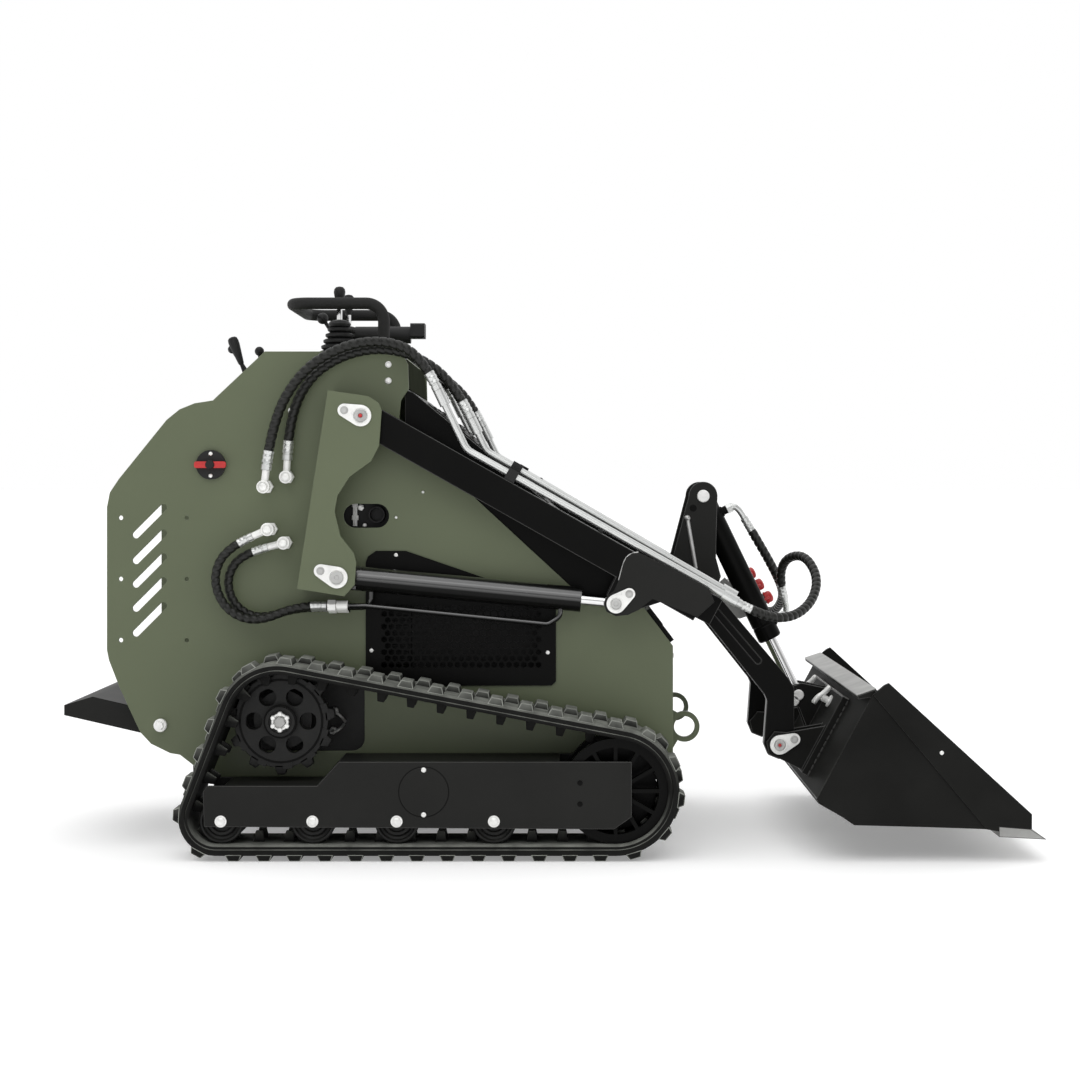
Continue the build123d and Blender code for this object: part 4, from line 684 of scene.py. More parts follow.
SPROCKET_TOOTH = ((106, 16, 14), (112, 15, 14), (125, 10.5, 12.5), (129, 9, 11))
SPROCKET_HALF_T = 14
SPROCKET_FACE = 476.0
SPROCKET_HUB = 490.0
NUT_LOBES = 6
NUT_LOBE_OUT = 19
OVAL = (-434, 815)
OVAL_HALF = (76, 46)
OVAL_POINTS = 40
TRAY_INSIDE = (0.95, 0.94)
TRAY_BACK, TRAY_FLOOR = 290, 294
FITTING_ENDS = ((-677.5, 886, 408), (-626.5, 910, 381), (-667, 782.7, 412), (-631, 749.4, 390))
BANJO_OUT = 12
BANJO_SHAPE = [(0, 12), (0.5, 16), (5, 16), (6, 15), (6, 12.8), (0.8, 12.4), (0.8, 8.8), (8, 8.5),
               (9, 7), (9, 0)]


def closing(lip):
    """Outline of the closing plate: the upper left of the motor's opening, with a lip around it."""
    x_from, x_to, z_from, z_to = MOTOR_OPENING
    around = rounded(x_from - lip, x_to + lip, z_from - lip, z_to + lip, MOTOR_OPENING_R + lip)
    left, top = LEFT_OPEN
    return around[3:18] + [(left[0], z_from - lip), left, top, (x_to + lip, top[1])]


def keeper(name, pin, bolt, y, sign, body, big=26.0, small=16.0):
    """The zinc plate that holds a pin, with the pin's end and a bolt in plain steel."""
    axis = (0, sign, 0)
    face = sign * (y + KEEPER_T)
    bm = bmesh.new()
    plate(bm, teardrop(pin, big, bolt, small), sign * y, face, 1.5)
    ring(bm, at(pin, face), axis, [(0, big - 5), (2, big - 5.5), (2, big - 8), (0, big - 8.5)], 40)
    piece(name + "_plate", bm, ZINC, body)
    bm = bmesh.new()
    lathe(bm, at(pin, face), axis,
          [(0, big - 10), (3, big - 10), (4.5, big - 11.5), (4.5, 6), (2.5, 5), (2.5, 0)], 32)
    hex_bolt(bm, at(bolt, face), axis, 7.5, 7)
    piece(name + "_pin", bm, STEEL, body)


def fasteners(side, sign):
    """Zinc bolts on the side plate, switch and track frame, and the platform's pivot bolt."""
    axis = (0, sign, 0)
    bm = bmesh.new()
    for x, z, radius in PLATE_BOLTS:
        dome_bolt(bm, (x, sign * PLATE_Y, z), axis, radius, 5)
    ring(bm, at(PLATFORM_PIVOT, sign * PLATE_Y), axis, [(0, 16), (9, 16), (10, 15), (10, 9.6), (0, 9.6)], 32)
    if side == "right":
        for z in (SWITCH[1] + SWITCH_BOLT_OUT, SWITCH[1] - SWITCH_BOLT_OUT):
            dome_bolt(bm, (SWITCH[0], sign * (PLATE_Y + FITTING_T), z), axis, 5, 4)
    for x in ROLLERS:
        lathe(bm, (x, sign * FRAME_Y, ROLLER_BOLT_Z), axis,
              [(0, 14), (2, 14), (2.5, 13.2), (2.5, 10.5), (6, 10), (8.5, 7), (9.5, 0)], 28)
    for z in FRAME_COVER_BOLTS_Z:
        dome_bolt(bm, (FRAME_COVER[0], sign * (FRAME_Y + 1), z), axis, 6, 4)
    piece("fasteners_" + side, bm, ZINC)
    bm = bmesh.new()
    hex_bolt(bm, at(PLATFORM_PIVOT, sign * (PLATE_Y + FITTING_T)), axis, 11, 10)
    piece("platform_bolt_head_" + side, bm, ZINC, "platform")


def keepers(side, sign):
    """Keepers of the boom's pivot, the lift cylinder's base and rod, and the bucket's pin."""
    keeper("keeper_a_" + side, PIN_A, KEEPER_A, BRACKET_Y, sign, "chassis")
    keeper("keeper_b_" + side, PIN_B, KEEPER_B, BRACKET_Y, sign, "chassis")
    keeper("keeper_r_" + side, PIN_R, KEEPER_R, ARM_Y + KNEE_T, sign, "boom", 23.0, 14.0)
    keeper("keeper_p_" + side, PIN_P, KEEPER_P, EAR_Y, sign, "bucket", 24.0, 15.0)


def knee(side, sign):
    """Knee plate on the outside of the arm, with a weld along its upper rear edge."""
    bm = bmesh.new()
    plate(bm, KNEE, sign * ARM_Y, sign * (ARM_Y + KNEE_T), 1.2)
    piece("knee_plate_" + side, bm, BLACK, "boom")
    bm = bmesh.new()
    bar(bm, route([at(place, sign * (ARM_Y + 1.5)) for place in KNEE[:KNEE_WELDED]]), 2.2, 16, 10)
    piece("knee_weld_" + side, bm, STEEL, "boom")


def frame_cover(side, sign):
    """Round cover on the track frame with a dark seam around it, and two dark discs painted as the shade in
    two holes of the frame.
    """
    axis = (0, sign, 0)
    bm = bmesh.new()
    lathe(bm, at(FRAME_COVER, sign * FRAME_Y), axis, [(0, 58), (0.6, 58), (1.2, 57.2), (1.2, 0)], 72)
    piece("frame_cover_" + side, bm, BLACK)
    bm = bmesh.new()
    # Painted shade: dark discs where the frame has holes
    for place in FRAME_HOLES:
        lathe(bm, at(place, sign * FRAME_Y), axis, [(0, 6.5), (0.6, 6.5), (0.8, 6), (0.8, 0)], 24)
    ring(bm, at(FRAME_COVER, sign * FRAME_Y), axis, [(0, 58.4), (0.5, 58.6), (0.5, 60), (0, 60.2)], 72)
    piece("frame_hole_shade_and_seam_" + side, bm, GLOSS_AND_PAINTED_SHADE)


def tower_fittings(side, sign):
    """The tilt tower's pin end, a dark disc painted as the shade in the hole beside it, and the rod on its
    side.
    """
    axis = (0, sign, 0)
    bm = bmesh.new()
    lathe(bm, at(TOWER_PIN, sign * TOWER_Y), axis, [(0, 16), (4, 16), (5.5, 14.5), (5.5, 0)], 32)
    piece("tower_pin_" + side, bm, ZINC, "boom")
    bm = bmesh.new()
    # Painted shade: a dark disc where the hole is
    lathe(bm, at(TOWER_HOLE, sign * TOWER_Y), axis, [(0, 9), (0.7, 9), (0.9, 8.5), (0.9, 0)], 32)
    piece("tower_hole_shade_" + side, bm, GLOSS_AND_PAINTED_SHADE, "boom")
    bm = bmesh.new()
    low, high = [Vector(at(place, sign * (TOWER_Y + TOWER_ROD_OUT))) for place in TOWER_ROD]
    length = (high - low).length
    lathe(bm, low, high - low, [(0, 4), (1, 5), (length, 5), (length + 2, 4)], 16)
    dome_bolt(bm, at(TOWER_ROD[1], sign * TOWER_Y), axis, 8, 11)
    piece("tower_rod_" + side, bm, STEEL, "boom")


def grease_points(side, sign):
    """Red caps on the grease points of the boom's pivot and the bucket's pin."""
    axis = (0, sign, 0)
    bm = bmesh.new()
    lathe(bm, at(PIN_A, sign * (BRACKET_Y + 8.5)), axis, [(0, 4.5), (3, 4.5), (4.5, 3), (5, 0)], 16)
    piece("grease_point_" + side, bm, RED)
    bm = bmesh.new()
    lathe(bm, at(PIN_P, sign * (EAR_Y + 8.5)), axis, [(0, 4), (3, 4), (4, 3), (4.5, 0)], 16)
    piece("bucket_grease_point_" + side, bm, RED, "bucket")


def sprocket(side, sign):
    """Tooth ring behind the disc, two grooves, and a lobed nut around a bolt."""
    axis = (0, sign, 0)
    face, hub = at(SPROCKET, sign * SPROCKET_FACE), at(SPROCKET, sign * SPROCKET_HUB)
    bm = bmesh.new()
    for k in range(SPROCKET_TEETH):
        a = 2 * pi * k / SPROCKET_TEETH - pi / 2
        layers = [(reach, half, sign * TRACK_MID - thick, sign * TRACK_MID + thick)
                  for reach, half, thick in SPROCKET_TOOTH]
        taper(bm, SPROCKET, a, layers, 1.5)
    ring(bm, at(SPROCKET, sign * (TRACK_MID - SPROCKET_HALF_T)), axis,
         [(0, 84), (0, 111), (1, 112), (27, 112), (28, 111), (28, 84)], 96)
    ring(bm, hub, axis, [(0, 36), (4, 35), (4, 28), (0, 27)], 48)
    piece("sprocket_teeth_" + side, bm, CAST)
    bm = bmesh.new()
    ring(bm, face, axis, [(0, 101), (0.7, 100.5), (0.7, 96.5), (0, 96)], 96)
    ring(bm, hub, axis, [(0, 40), (0.7, 39.5), (0.7, 37), (0, 36.5)], 64)
    piece("sprocket_groove_" + side, bm, GLOSS_AND_PAINTED_SHADE)
    bm = bmesh.new()
    lathe(bm, at(SPROCKET, sign * (SPROCKET_HUB + 3)), axis,
          [(0, 14.5), (7.5, 14.5), (9.5, 12.5), (9.5, 0)], 6)
    piece("sprocket_bolt_" + side, bm, WORN)
    bm = bmesh.new()
    lathe(bm, hub, axis, [(0, 21), (6, 21), (8, 19.5), (8, 16), (3, 15.5), (3, 0)], 32)
    for k in range(NUT_LOBES):
        a = 2 * pi * k / NUT_LOBES + pi / 2
        lobe = (hub[0] + NUT_LOBE_OUT * cos(a), hub[1], hub[2] + NUT_LOBE_OUT * sin(a))
        lathe(bm, lobe, axis, [(0, 6), (9, 6), (11, 4.5)], 10)
    piece("sprocket_nut_" + side, bm, ZINC)


def lift_nuts(side, sign):
    """Nuts on the ends of the lift cylinder's pipes."""
    bm = bmesh.new()
    for x, y, z in (LIFT_OUTER[-1], LIFT_INNER[-1]):
        lathe(bm, (x + 2, -sign * y, z), (1, 0, 0), [(0, 12.5), (1.5, 15), (20, 15), (21.5, 12.5)], 6)
        lathe(bm, (x + 24, -sign * y, z), (1, 0, 0), [(0, 11.5), (1, 13), (27, 13), (28, 11.5)], 24)
    piece("lift_nuts_" + side, bm, ZINC, "lift_barrel_" + side)


def motor_opening(side, sign):
    """Closing plate in the motor's opening, and two pipe elbows beside the sprocket."""
    axis = (0, sign, 0)
    bm = bmesh.new()
    plate(bm, closing(0), sign * CLOSING_Y[0], sign * CLOSING_Y[1], 0.8)
    plate(bm, closing(CLOSING_LIP), sign * PLATE_Y, sign * (PLATE_Y + CLOSING_LIP_T), 0)
    piece("closing_plate_" + side, bm, GREEN)
    bm = bmesh.new()
    for x, z, drop in MOTOR_ELBOWS:
        lathe(bm, (x, sign * INSIDE_Y, z), axis, [(0, 10), (9, 10), (10, 8)], 6)
        elbow = route([(x, sign * 355, z), (x, sign * 378, z), (x + 8, sign * 380, z),
                       (x + 24, sign * 380, z + drop), (x + 26, sign * 350, z + drop * 1.6)])
        bar(bm, elbow, 3.5, 20, 16)
    piece("motor_elbows_" + side, bm, WORN)


def rollers(side, sign):
    """Turned wheels with a dished face, in place of the plain discs, and their axles."""
    bm = bmesh.new()
    for x in ROLLERS:
        for way in (-1, 1):
            lathe(bm, (x, sign * (TRACK_MID + way * ROLLER_GAP), ROLLER_Z), (0, sign * way, 0),
                  ROLLER_SHAPE, 48)
        lathe(bm, (x, sign * (TRACK_MID - ROLLER_AXLE_HALF), ROLLER_Z), (0, sign, 0),
              [(0, 16), (2 * ROLLER_AXLE_HALF, 16)], 24)
    wheels = piece("roller_wheels_" + side, bm, CAST)
    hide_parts("rollers_" + side)


def fitting_ends(side, sign):
    """Banjo ends of the hose fittings."""
    bm = bmesh.new()
    for x, z, out in FITTING_ENDS:
        lathe(bm, (x, sign * (out + BANJO_OUT), z), (0, sign, 0), BANJO_SHAPE, 32)
    piece("fitting_ends_" + side, bm, ZINC)


def oval_tray(side, sign):
    """Tray behind the oval opening, with its pipe ends."""
    axis = (0, sign, 0)
    x_mid, z_mid = OVAL
    outline = []
    for k in range(OVAL_POINTS):
        a = 2 * pi * k / OVAL_POINTS
        outline.append((x_mid + OVAL_HALF[0] * copysign(abs(cos(a)) ** 0.5, cos(a)),
                        z_mid + OVAL_HALF[1] * copysign(abs(sin(a)) ** 0.5, sin(a))))
    wide, tall = TRAY_INSIDE
    inside = [(x_mid + (x - x_mid) * wide, z_mid + (z - z_mid) * tall) for x, z in outline]
    bm = bmesh.new()
    rings = []
    for shape, y in ((outline, INSIDE_Y), (outline, TRAY_BACK), (inside, TRAY_FLOOR), (inside, INSIDE_Y)):
        rings.append([bm.verts.new((x, sign * y, z)) for x, z in shape])
    bm.faces.new(rings[1])
    bm.faces.new(rings[2])
    for low, high in ((rings[0], rings[1]), (rings[2], rings[3]), (rings[3], rings[0])):
        bridge(bm, [low, high], closed=False)
    ring(bm, (x_mid + 22, sign * TRAY_FLOOR, z_mid + 2), axis, [(0, 21), (26, 20), (26, 17), (6, 16)], 32)
    piece("oval_tray_" + side, bm, PLASTIC)
    bm = bmesh.new()
    lathe(bm, (x_mid - 32, sign * 312, z_mid - 26), (0, 0, 1),
          [(0, 6), (14, 6), (15, 9), (26, 9), (27, 6), (46, 6), (47, 8), (56, 8)], 6)
    lathe(bm, (x_mid - 18, sign * 300, z_mid + 20), axis, [(0, 8), (12, 8), (13, 5), (20, 5)], 6)
    lathe(bm, (x_mid - 8, sign * 300, z_mid - 24), axis, [(0, 5), (14, 5), (16, 3)], 12)
    piece("oval_fittings_" + side, bm, ZINC)


for side, sign in SIDES:
    for fit in (fasteners, keepers, knee, frame_cover, tower_fittings, grease_points, sprocket, lift_nuts,
                motor_opening, rollers, fitting_ends, oval_tray):
        fit(side, sign)

# Boss in the middle of the battery switch's handle
bm = bmesh.new()
lathe(bm, at(SWITCH, -SWITCH_HANDLE_Y), (0, -1, 0), [(0, 11), (3, 11), (5, 9), (5, 0)], 28)
piece("switch_boss", bm, PLASTIC)

# Joysticks with their boots, and levers: foot and top (x, z), place across and length of the knob
DECK_TOP = 1211.0
JOYSTICK_X = -525
JOYSTICK_Y = (-115, 115)
STEM_Z, KNOB_Z = 1310, 1345
BOOT_FOLDS = 5
LEVERS = (((-757, 1148), (-801, 1270), -120, 74), ((-752, 1145), (-825, 1255), 0, 22),
          ((-748, 1156), (-757, 1257), 60, 25), ((-505, 1211.5), (-591, 1340), 10, 30))
LONG_KNOB = 50

boot = [(0, 54), (7, 54), (8, 52)]
for k in range(BOOT_FOLDS):
    z, r = 10 + k * 15, 53 - k * 5.5
    boot += [(z, r - 7), (z + 4, r - 1), (z + 8, r), (z + 11, r - 1), (z + 14, r - 8)]
boot += [(86, 27), (92, 29), (99, 24), (103, 10), (103, 0)]
bm = bmesh.new()
for y in JOYSTICK_Y:
    lathe(bm, (JOYSTICK_X, y, DECK_TOP + 0.3), (0, 0, 1), boot, 40)
    lathe(bm, (JOYSTICK_X, y, KNOB_Z), (0, 0, 1),
          [(0, 8), (2, 9), (20, 10.5), (30, 13.5), (40, 15), (48, 13.5), (53, 9), (55, 0)], 28)
boots = piece("joystick_boots", bm, PLASTIC)
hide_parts("joysticks")
bm = bmesh.new()
for y in JOYSTICK_Y:
    lathe(bm, (JOYSTICK_X, y, STEM_Z), (0, 0, 1), [(0, 7), (40, 7)], 20)
piece("joystick_stems", bm, CHROME)
rods, knobs = bmesh.new(), bmesh.new()
for foot, top, y, knob in LEVERS:
    low, high = Vector(at(foot, y)), Vector(at(top, y))
    axis = high - low
    lathe(rods, low, axis, [(0, 5), (axis.length - knob + 4, 5)], 16)
    lathe(rods, low, axis, [(0, 9), (5, 9), (7, 6)], 20)
    if knob > LONG_KNOB:
        profile = [(0, 0), (1.5, 8), (5, 12), (12, 13.5), (22, 13.5), (knob - 4, 7.5), (knob, 6.5), (knob, 0)]
    else:
        profile = [(knob / 2 - knob / 2 * cos(pi * k / 12), knob / 2 * sin(pi * k / 12))
                   for k in range(1, 12)]
        profile = [(0, 0)] + profile + [(knob, 0)]
    lathe(knobs, high, -axis, profile, 28)
piece("lever_rods", rods, CAST)
piece("lever_knobs", knobs, PLASTIC)

# Tilt cylinder: ports with nuts and bent elbows, in place of the plain ones
TILT_TOP = Vector((410, 0, 862))
TILT_AXIS = Vector((0.4353, 0, -0.9003))
TILT_OUT = Vector((0.9003, 0, 0.4353))
TILT_EYE_HALF = 71.7
PORT_BASE_AT, PORT_ROD_AT = 60.4, 375.0
ELBOW_BASE, ELBOW_ROD = (503, 0, 840), (638, 0, 556)

bm = bmesh.new()
lathe(bm, TILT_TOP, TILT_AXIS,
      [(28, 0), (28, 28), (31, 31), (372, 31), (374, 29.5), (377, 29.5), (379, 31), (411, 31), (415, 28),
       (415, 16), (405, 15.5), (405, 0)], 48)
ring(bm, TILT_TOP - Vector((0, TILT_EYE_HALF, 0)), (0, 1, 0),
     [(0, 29), (1, 30), (142.4, 30), (143.4, 29), (143.4, 20.5), (0, 20.5)], 40)
for place in (PORT_BASE_AT, PORT_ROD_AT):
    lathe(bm, TILT_TOP + TILT_AXIS * place, TILT_OUT, [(24, 14), (33, 14), (35, 11), (46, 11)], 24)
tilt = piece("tilt_cylinder", bm, GLOSS_AND_PAINTED_SHADE, "tilt_barrel")
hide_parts("tilt_barrel")
bm = bmesh.new()
for place, corner, end in ((PORT_BASE_AT, ELBOW_BASE, TILT_BASE[0]), (PORT_ROD_AT, ELBOW_ROD, TILT_ROD[-1])):
    port = TILT_TOP + TILT_AXIS * place
    lathe(bm, port, TILT_OUT, [(44, 12), (45, 14), (58, 14), (59, 12)], 6)
    lathe(bm, port, TILT_OUT, [(57, 11), (63, 11), (64, 9)], 24)
    bar(bm, route([port + TILT_OUT * 58, corner, end]), 8.0, 24, 24)
piece("tilt_elbows", bm, TUBE, "tilt_barrel")

# Bucket: bare upper edges, latch levers, small bolts and a weld along the back
BACK_FOOT = Vector((647, 0, 150))
BACK_UP = Vector((0.4757, 0, 0.8797))
BACK_OUT = Vector((-0.8797, 0, 0.4757))
ATTACH_HALF, ATTACH_T, ATTACH_TOP = 290, 18, 235.3
FLANGE = [(743, 393.2), (786, 408.2), (788, 409.8), (742, 394.6)]
FLANGE_HALF = 545
LATCH_UP, LATCH_Y = 205, 150
LATCH_ROUTE = ((36, -24), (34, -4), (24, 8), (18, 34))
SIDE_BOLT = (940.5, 560, 259.6)
ROD_PINS = ((660, 345), (648, 330))
ROD_PIN_Y = 41.2
WELDS = 13
WELD_FROM, WELD_PITCH = 22, 16.4

attach_edge = []
for up, out in ((0, 1), (0, ATTACH_T), (2, ATTACH_T), (2, 1)):
    attach_edge.append(tuple((BACK_FOOT + BACK_UP * (ATTACH_TOP + up) + BACK_OUT * out).xz))
bm = bmesh.new()
for shape, half in ((FLANGE, FLANGE_HALF), (attach_edge, ATTACH_HALF)):
    bridge(bm, [[bm.verts.new((x, y, z)) for x, z in shape] for y in (-half, half)])
piece("bucket_bright_edges", bm, WORN, "bucket")
trim, welds = bmesh.new(), bmesh.new()
for side, sign in SIDES:
    place = BACK_FOOT + BACK_UP * LATCH_UP + BACK_OUT * ATTACH_T + Vector((0, sign * LATCH_Y, 0))
    lathe(trim, place, BACK_OUT, [(0, 16), (5, 16), (6, 14), (6, 9), (22, 9), (24, 7)], 28)
    handle = route([place + BACK_OUT * out + BACK_UP * up for out, up in LATCH_ROUTE])
    grip = [(handle.length * k / 16, 7) for k in range(1, 16)]
    sweep(trim, handle, [(0, 5)] + grip + [(handle.length, 5)], 20)
    dome_bolt(trim, (SIDE_BOLT[0], sign * SIDE_BOLT[1], SIDE_BOLT[2]), (0, sign, 0), 5, 3)
    for pin in ROD_PINS:
        lathe(trim, at(pin, sign * ROD_PIN_Y), (0, sign, 0), [(0, 14), (4, 14), (5.5, 12), (5.5, 0)], 24)
    for k in range(WELDS):
        place = BACK_FOOT + BACK_UP * (WELD_FROM + WELD_PITCH * k) + BACK_OUT
        place += Vector((0, sign * (ATTACH_HALF + 1.5), 0))
        lathe(welds, place, BACK_UP, [(0, 1.5), (2, 3.2), (12, 3.2), (14, 1.5)], 10)
piece("bucket_trim", trim, ZINC, "bucket")
piece("bucket_welds", welds, BLACK_HIGHLIGHT_AND_WELD, "bucket")

# Domed caps on the couplers, each with a strap to a band on the coupler
COUPLERS = ((484, 622), (506, 592), (530, 559))
COUPLER_Y = 122
CAP_AT = 64.3
BAND_AT = -26
STRAP_ROUTE = ((-22, 15), (-16, 30), (8, 32), (10, 14))

bm = bmesh.new()
for place in COUPLERS:
    foot = Vector(at(place, COUPLER_Y)) + TILT_OUT * CAP_AT
    lathe(bm, foot, TILT_OUT,
          [(0, 15), (1, 17), (5, 17), (6, 15.5), (15, 15.5), (19, 13), (21.5, 7), (22, 0)], 28)
    ring(bm, foot + TILT_OUT * BAND_AT, TILT_OUT, [(0, 12), (0, 16.5), (8, 16.5), (8, 12)], 28)
    bar(bm, route([foot + TILT_OUT * out + Vector((0, -near, 0)) for out, near in STRAP_ROUTE]), 3.2, 16, 12)
caps = piece("coupler_domes", bm, RED, "boom")
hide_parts("coupler_caps")

# Hood lid with louvres, bolts and a grab handle
HOOD_FOOT, HOOD_ALONG = Vector((-320, 0, 1118)), Vector((556, 0, -458)).normalized()
HOOD_OUT = HOOD_ALONG.cross(Vector((0, 1, 0)))
HOOD_LID = (40, 430, -300, 300)
HOOD_LID_T = 3
LOUVRE_HALF = 95
HOOD_LOUVRES_Y, HOOD_LOUVRES_FROM, HOOD_LOUVRE_PITCH = (-150, 150), 80, 30
HOOD_HANDLE_AT = 375
HOOD_HANDLE_ROUTE = ((-70, 0), (-70, 26), (-50, 30), (50, 30), (70, 26), (70, 0))
HOOD_BOLTS_AT, HOOD_BOLTS_Y = (62, 408), (-276, -100, 100, 276)

bm = bmesh.new()
panel(bm, HOOD_FOOT, HOOD_ALONG, rounded(*HOOD_LID, 30), -0.5, HOOD_LID_T, 1)
for y in HOOD_LOUVRES_Y:
    for k in range(7):
        u = HOOD_LOUVRES_FROM + HOOD_LOUVRE_PITCH * k
        panel(bm, HOOD_FOOT, HOOD_ALONG, rounded(u, u + 16, y - LOUVRE_HALF, y + LOUVRE_HALF, 7), 2.5, 9, 5)
piece("hood_lid", bm, BLACK)
bm = bmesh.new()
low = HOOD_FOOT + HOOD_ALONG * HOOD_HANDLE_AT + HOOD_OUT * 2
bar(bm, route([low + Vector((0, y, 0)) + HOOD_OUT * out for y, out in HOOD_HANDLE_ROUTE]), 6, 30, 16)
for u in HOOD_BOLTS_AT:
    for y in HOOD_BOLTS_Y:
        dome_bolt(bm, HOOD_FOOT + HOOD_ALONG * u + HOOD_OUT * HOOD_LID_T + Vector((0, y, 0)), HOOD_OUT, 6, 4)
piece("hood_handle", bm, PLASTIC)

# Rear door with louvres, hinges and a latch on the rear wall, and bolts on the wall, deck and front panel
WALL_X = -860
DOOR_T = 4
DOOR = (430, 1010, -285, 285)
DOOR_LOUVRES_Y, DOOR_LOUVRES_FROM, DOOR_LOUVRE_PITCH = (-140, 140), 850, 24
HINGES_Z, HINGE_Y = (520, 920), 292
HINGE_PIN = [(0, 4), (1, 5.5), (22, 5.5), (23, 5), (24, 5.5), (46, 5.5), (47, 5), (48, 5.5),
             (69, 5.5), (70, 4)]
FRONT_X = 317
PANEL_BOLT_Y = 322
UP = (0, 0, 1)

wall, door = (WALL_X, 0, 0), (WALL_X - DOOR_T, 0, 0)
bm = bmesh.new()
panel(bm, wall, UP, rounded(*DOOR, 28), -0.5, DOOR_T, 1)
for y in DOOR_LOUVRES_Y:
    for k in range(6):
        z = DOOR_LOUVRES_FROM + DOOR_LOUVRE_PITCH * k
        panel(bm, wall, UP, rounded(z, z + 13, y - LOUVRE_HALF, y + LOUVRE_HALF, 6), 3.5, 9.5, 5)
for z in HINGES_Z:
    lathe(bm, (door[0], HINGE_Y, z - 35), UP, HINGE_PIN, 20)
    panel(bm, wall, UP, rounded(z - 33, z + 33, HINGE_Y - 30, HINGE_Y + 30, 5), -0.5, 6, 1)
piece("rear_door", bm, BLACK)
bm = bmesh.new()
panel(bm, door, UP, rounded(665, 775, -262, -206, 12), -0.5, 2.5, 1)
panel(bm, (door[0] - 2, 0, 0), UP, rounded(690, 765, -250, -218, 9), -0.5, 3.5, 1.5)
piece("rear_latch", bm, PLASTIC)
bm = bmesh.new()
for z in (240, 330, 1040):
    for y in (-310, 0, 310):
        dome_bolt(bm, (WALL_X, y, z), (-1, 0, 0), 7, 5)
for x in (-655, -368):
    for y in (-PANEL_BOLT_Y, PANEL_BOLT_Y):
        dome_bolt(bm, (x, y, DECK_TOP), UP, 7, 4)
for y in (-PANEL_BOLT_Y, PANEL_BOLT_Y):
    for z in (205, 470):
        dome_bolt(bm, (FRONT_X, y, z), (1, 0, 0), 7, 5)
piece("panel_bolts", bm, ZINC)

# Cooler behind the grilles, on the engine's rear face
COOLER_X, COOLER_Z, COOLER_HALF = (-420, -331), (440, 598), 232
FIN_X, FIN_FROM, FIN_PITCH, FIN_T = (-414, -338), 450, 12, 5
FIN_Y = (231.5, 237)

bm = bmesh.new()
plate(bm, box_outline(COOLER_X, COOLER_Z), -COOLER_HALF, COOLER_HALF, 3)
for k in range(12):
    z = FIN_FROM + FIN_PITCH * k
    for side, sign in SIDES:
        plate(bm, box_outline(FIN_X, (z, z + FIN_T)), sign * FIN_Y[0], sign * FIN_Y[1], 1)
piece("cooler", bm, CAST)

# Console front above the hood, on its slightly leaning face
CONSOLE_HALF = 330
CONSOLE_Z = (1127, 1200)
CONSOLE_T = 3.0
CONSOLE_GAP = 0.6
HOOD_STEP, HOOD_STEP_LEAN = (-334, 1123), 0.074

low, high = [(HOOD_STEP[0] + (HOOD_STEP[1] - z) * HOOD_STEP_LEAN + CONSOLE_GAP, z) for z in CONSOLE_Z]
shape = [low, (low[0] + CONSOLE_T, low[1]), (high[0] + CONSOLE_T, high[1]), high]
bm = bmesh.new()
bridge(bm, [[bm.verts.new((x, y, z)) for x, z in shape] for y in (-CONSOLE_HALF, CONSOLE_HALF)])
piece("console_front", bm, CONSOLE)

# Softened edges on the plates, arms, frames and bucket, with painted highlights on them
EDGE_WIDTH = 1.6


def soften(name):
    """Rounds a node's sharp edges and paints a highlight on them with a lighter colour."""
    materials = NODES[name].data.materials
    materials.append(GREEN_EDGE_HIGHLIGHT if materials[0] == GREEN else BLACK_HIGHLIGHT_AND_WELD)
    modifiers = NODES[name].modifiers
    weld = modifiers.new("weld", "WELD")
    weld.merge_threshold = 0.00002
    flat = modifiers.new("flat", "DECIMATE")
    flat.decimate_type = "DISSOLVE"
    flat.angle_limit = radians(0.5)
    bevel = modifiers.new("bevel", "BEVEL")
    bevel.width = EDGE_WIDTH * MM
    bevel.segments = 2
    bevel.material = HIGHLIGHT_SLOT
    bevel.limit_method = "ANGLE"
    bevel.angle_limit = radians(35)
    modifiers.new("normals", "WEIGHTED_NORMAL")


for side, sign in SIDES:
    for name in ("side_plate_", "boom_bracket_", "boom_arm_", "lower_arm_", "track_frame_"):
        soften(name + side)
for name in ("front_panel", "top_deck", "dash_panel", "bucket_shell", "bucket_sides", "attach_plate",
             "tilt_tower", "boom_crossmember", "hood", "platform", "cutting_edge"):
    soften(name)

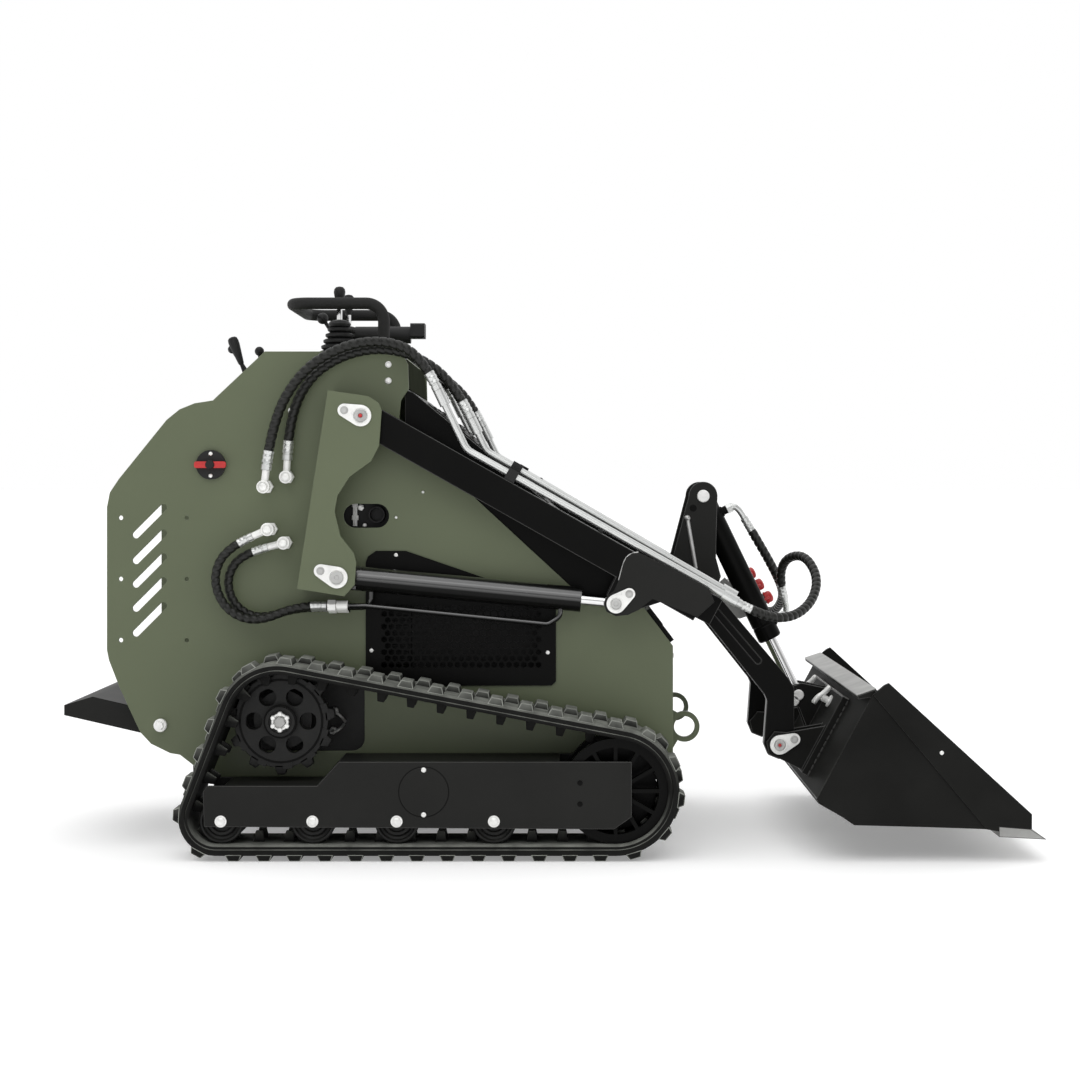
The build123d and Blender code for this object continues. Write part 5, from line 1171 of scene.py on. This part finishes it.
# Pale floor and soft studio light
FLOOR_HALF = 400
floor_mesh = bpy.data.meshes.new("floor")
floor_corners = [(-FLOOR_HALF, -FLOOR_HALF, 0), (FLOOR_HALF, -FLOOR_HALF, 0), (FLOOR_HALF, FLOOR_HALF, 0),
                 (-FLOOR_HALF, FLOOR_HALF, 0)]
floor_mesh.from_pydata(floor_corners, [], [(0, 1, 2, 3)])
floor = add_object("floor", floor_mesh)
floor_paint = new_material("floor", (0.86, 0.86, 0.86), 0.7, (0.01, 0.5), (0.0, 400), specular=0.1)
floor_shader = floor_paint.node_tree.nodes["Principled BSDF"]
floor_shader.inputs["Emission Color"].default_value = (1, 1, 1, 1)
floor_shader.inputs["Emission Strength"].default_value = 0.27
floor_mesh.materials.append(floor_paint)

# The surroundings are bright behind the machine and below the horizon, and dim behind the camera
world = bpy.data.worlds.new("studio")
bpy.context.scene.world = world
world.use_nodes = True
tree = world.node_tree
add, link = tree.nodes.new, tree.links.new
background = tree.nodes["Background"]
background.inputs["Color"].default_value = (1, 1, 1, 1)
direction = add("ShaderNodeTexCoord")
split = add("ShaderNodeSeparateXYZ")
link(direction.outputs["Generated"], split.inputs["Vector"])
brighter = add("ShaderNodeMath")
brighter.operation = "MAXIMUM"
for i, (way, limits) in enumerate((("Y", (-0.9, 0.25, 0.07, 1.0)), ("Z", (0.08, 0.26, 1.0, 0.0)))):
    fade = map_range(tree, *limits)
    link(split.outputs[way], fade.inputs["Value"])
    link(fade.outputs["Result"], brighter.inputs[i])
link(brighter.outputs[0], background.inputs["Strength"])

sun_data = bpy.data.lights.new("overhead", "SUN")
sun_data.energy = 1.0
sun_data.angle = radians(70)
sun = add_object("overhead", sun_data)
sun.rotation_euler = (radians(18), radians(-8), 0)
key_data = bpy.data.lights.new("panel", "AREA")
key_data.shape = "RECTANGLE"
key_data.size = 4.5
key_data.size_y = 2.4
key_data.energy = 43.0
key = add_object("panel", key_data)
key.location = (0.0, -3.9, 3.0)
key.rotation_euler = (radians(56), 0, 0)
bpy.context.scene.view_settings.view_transform = "Standard"
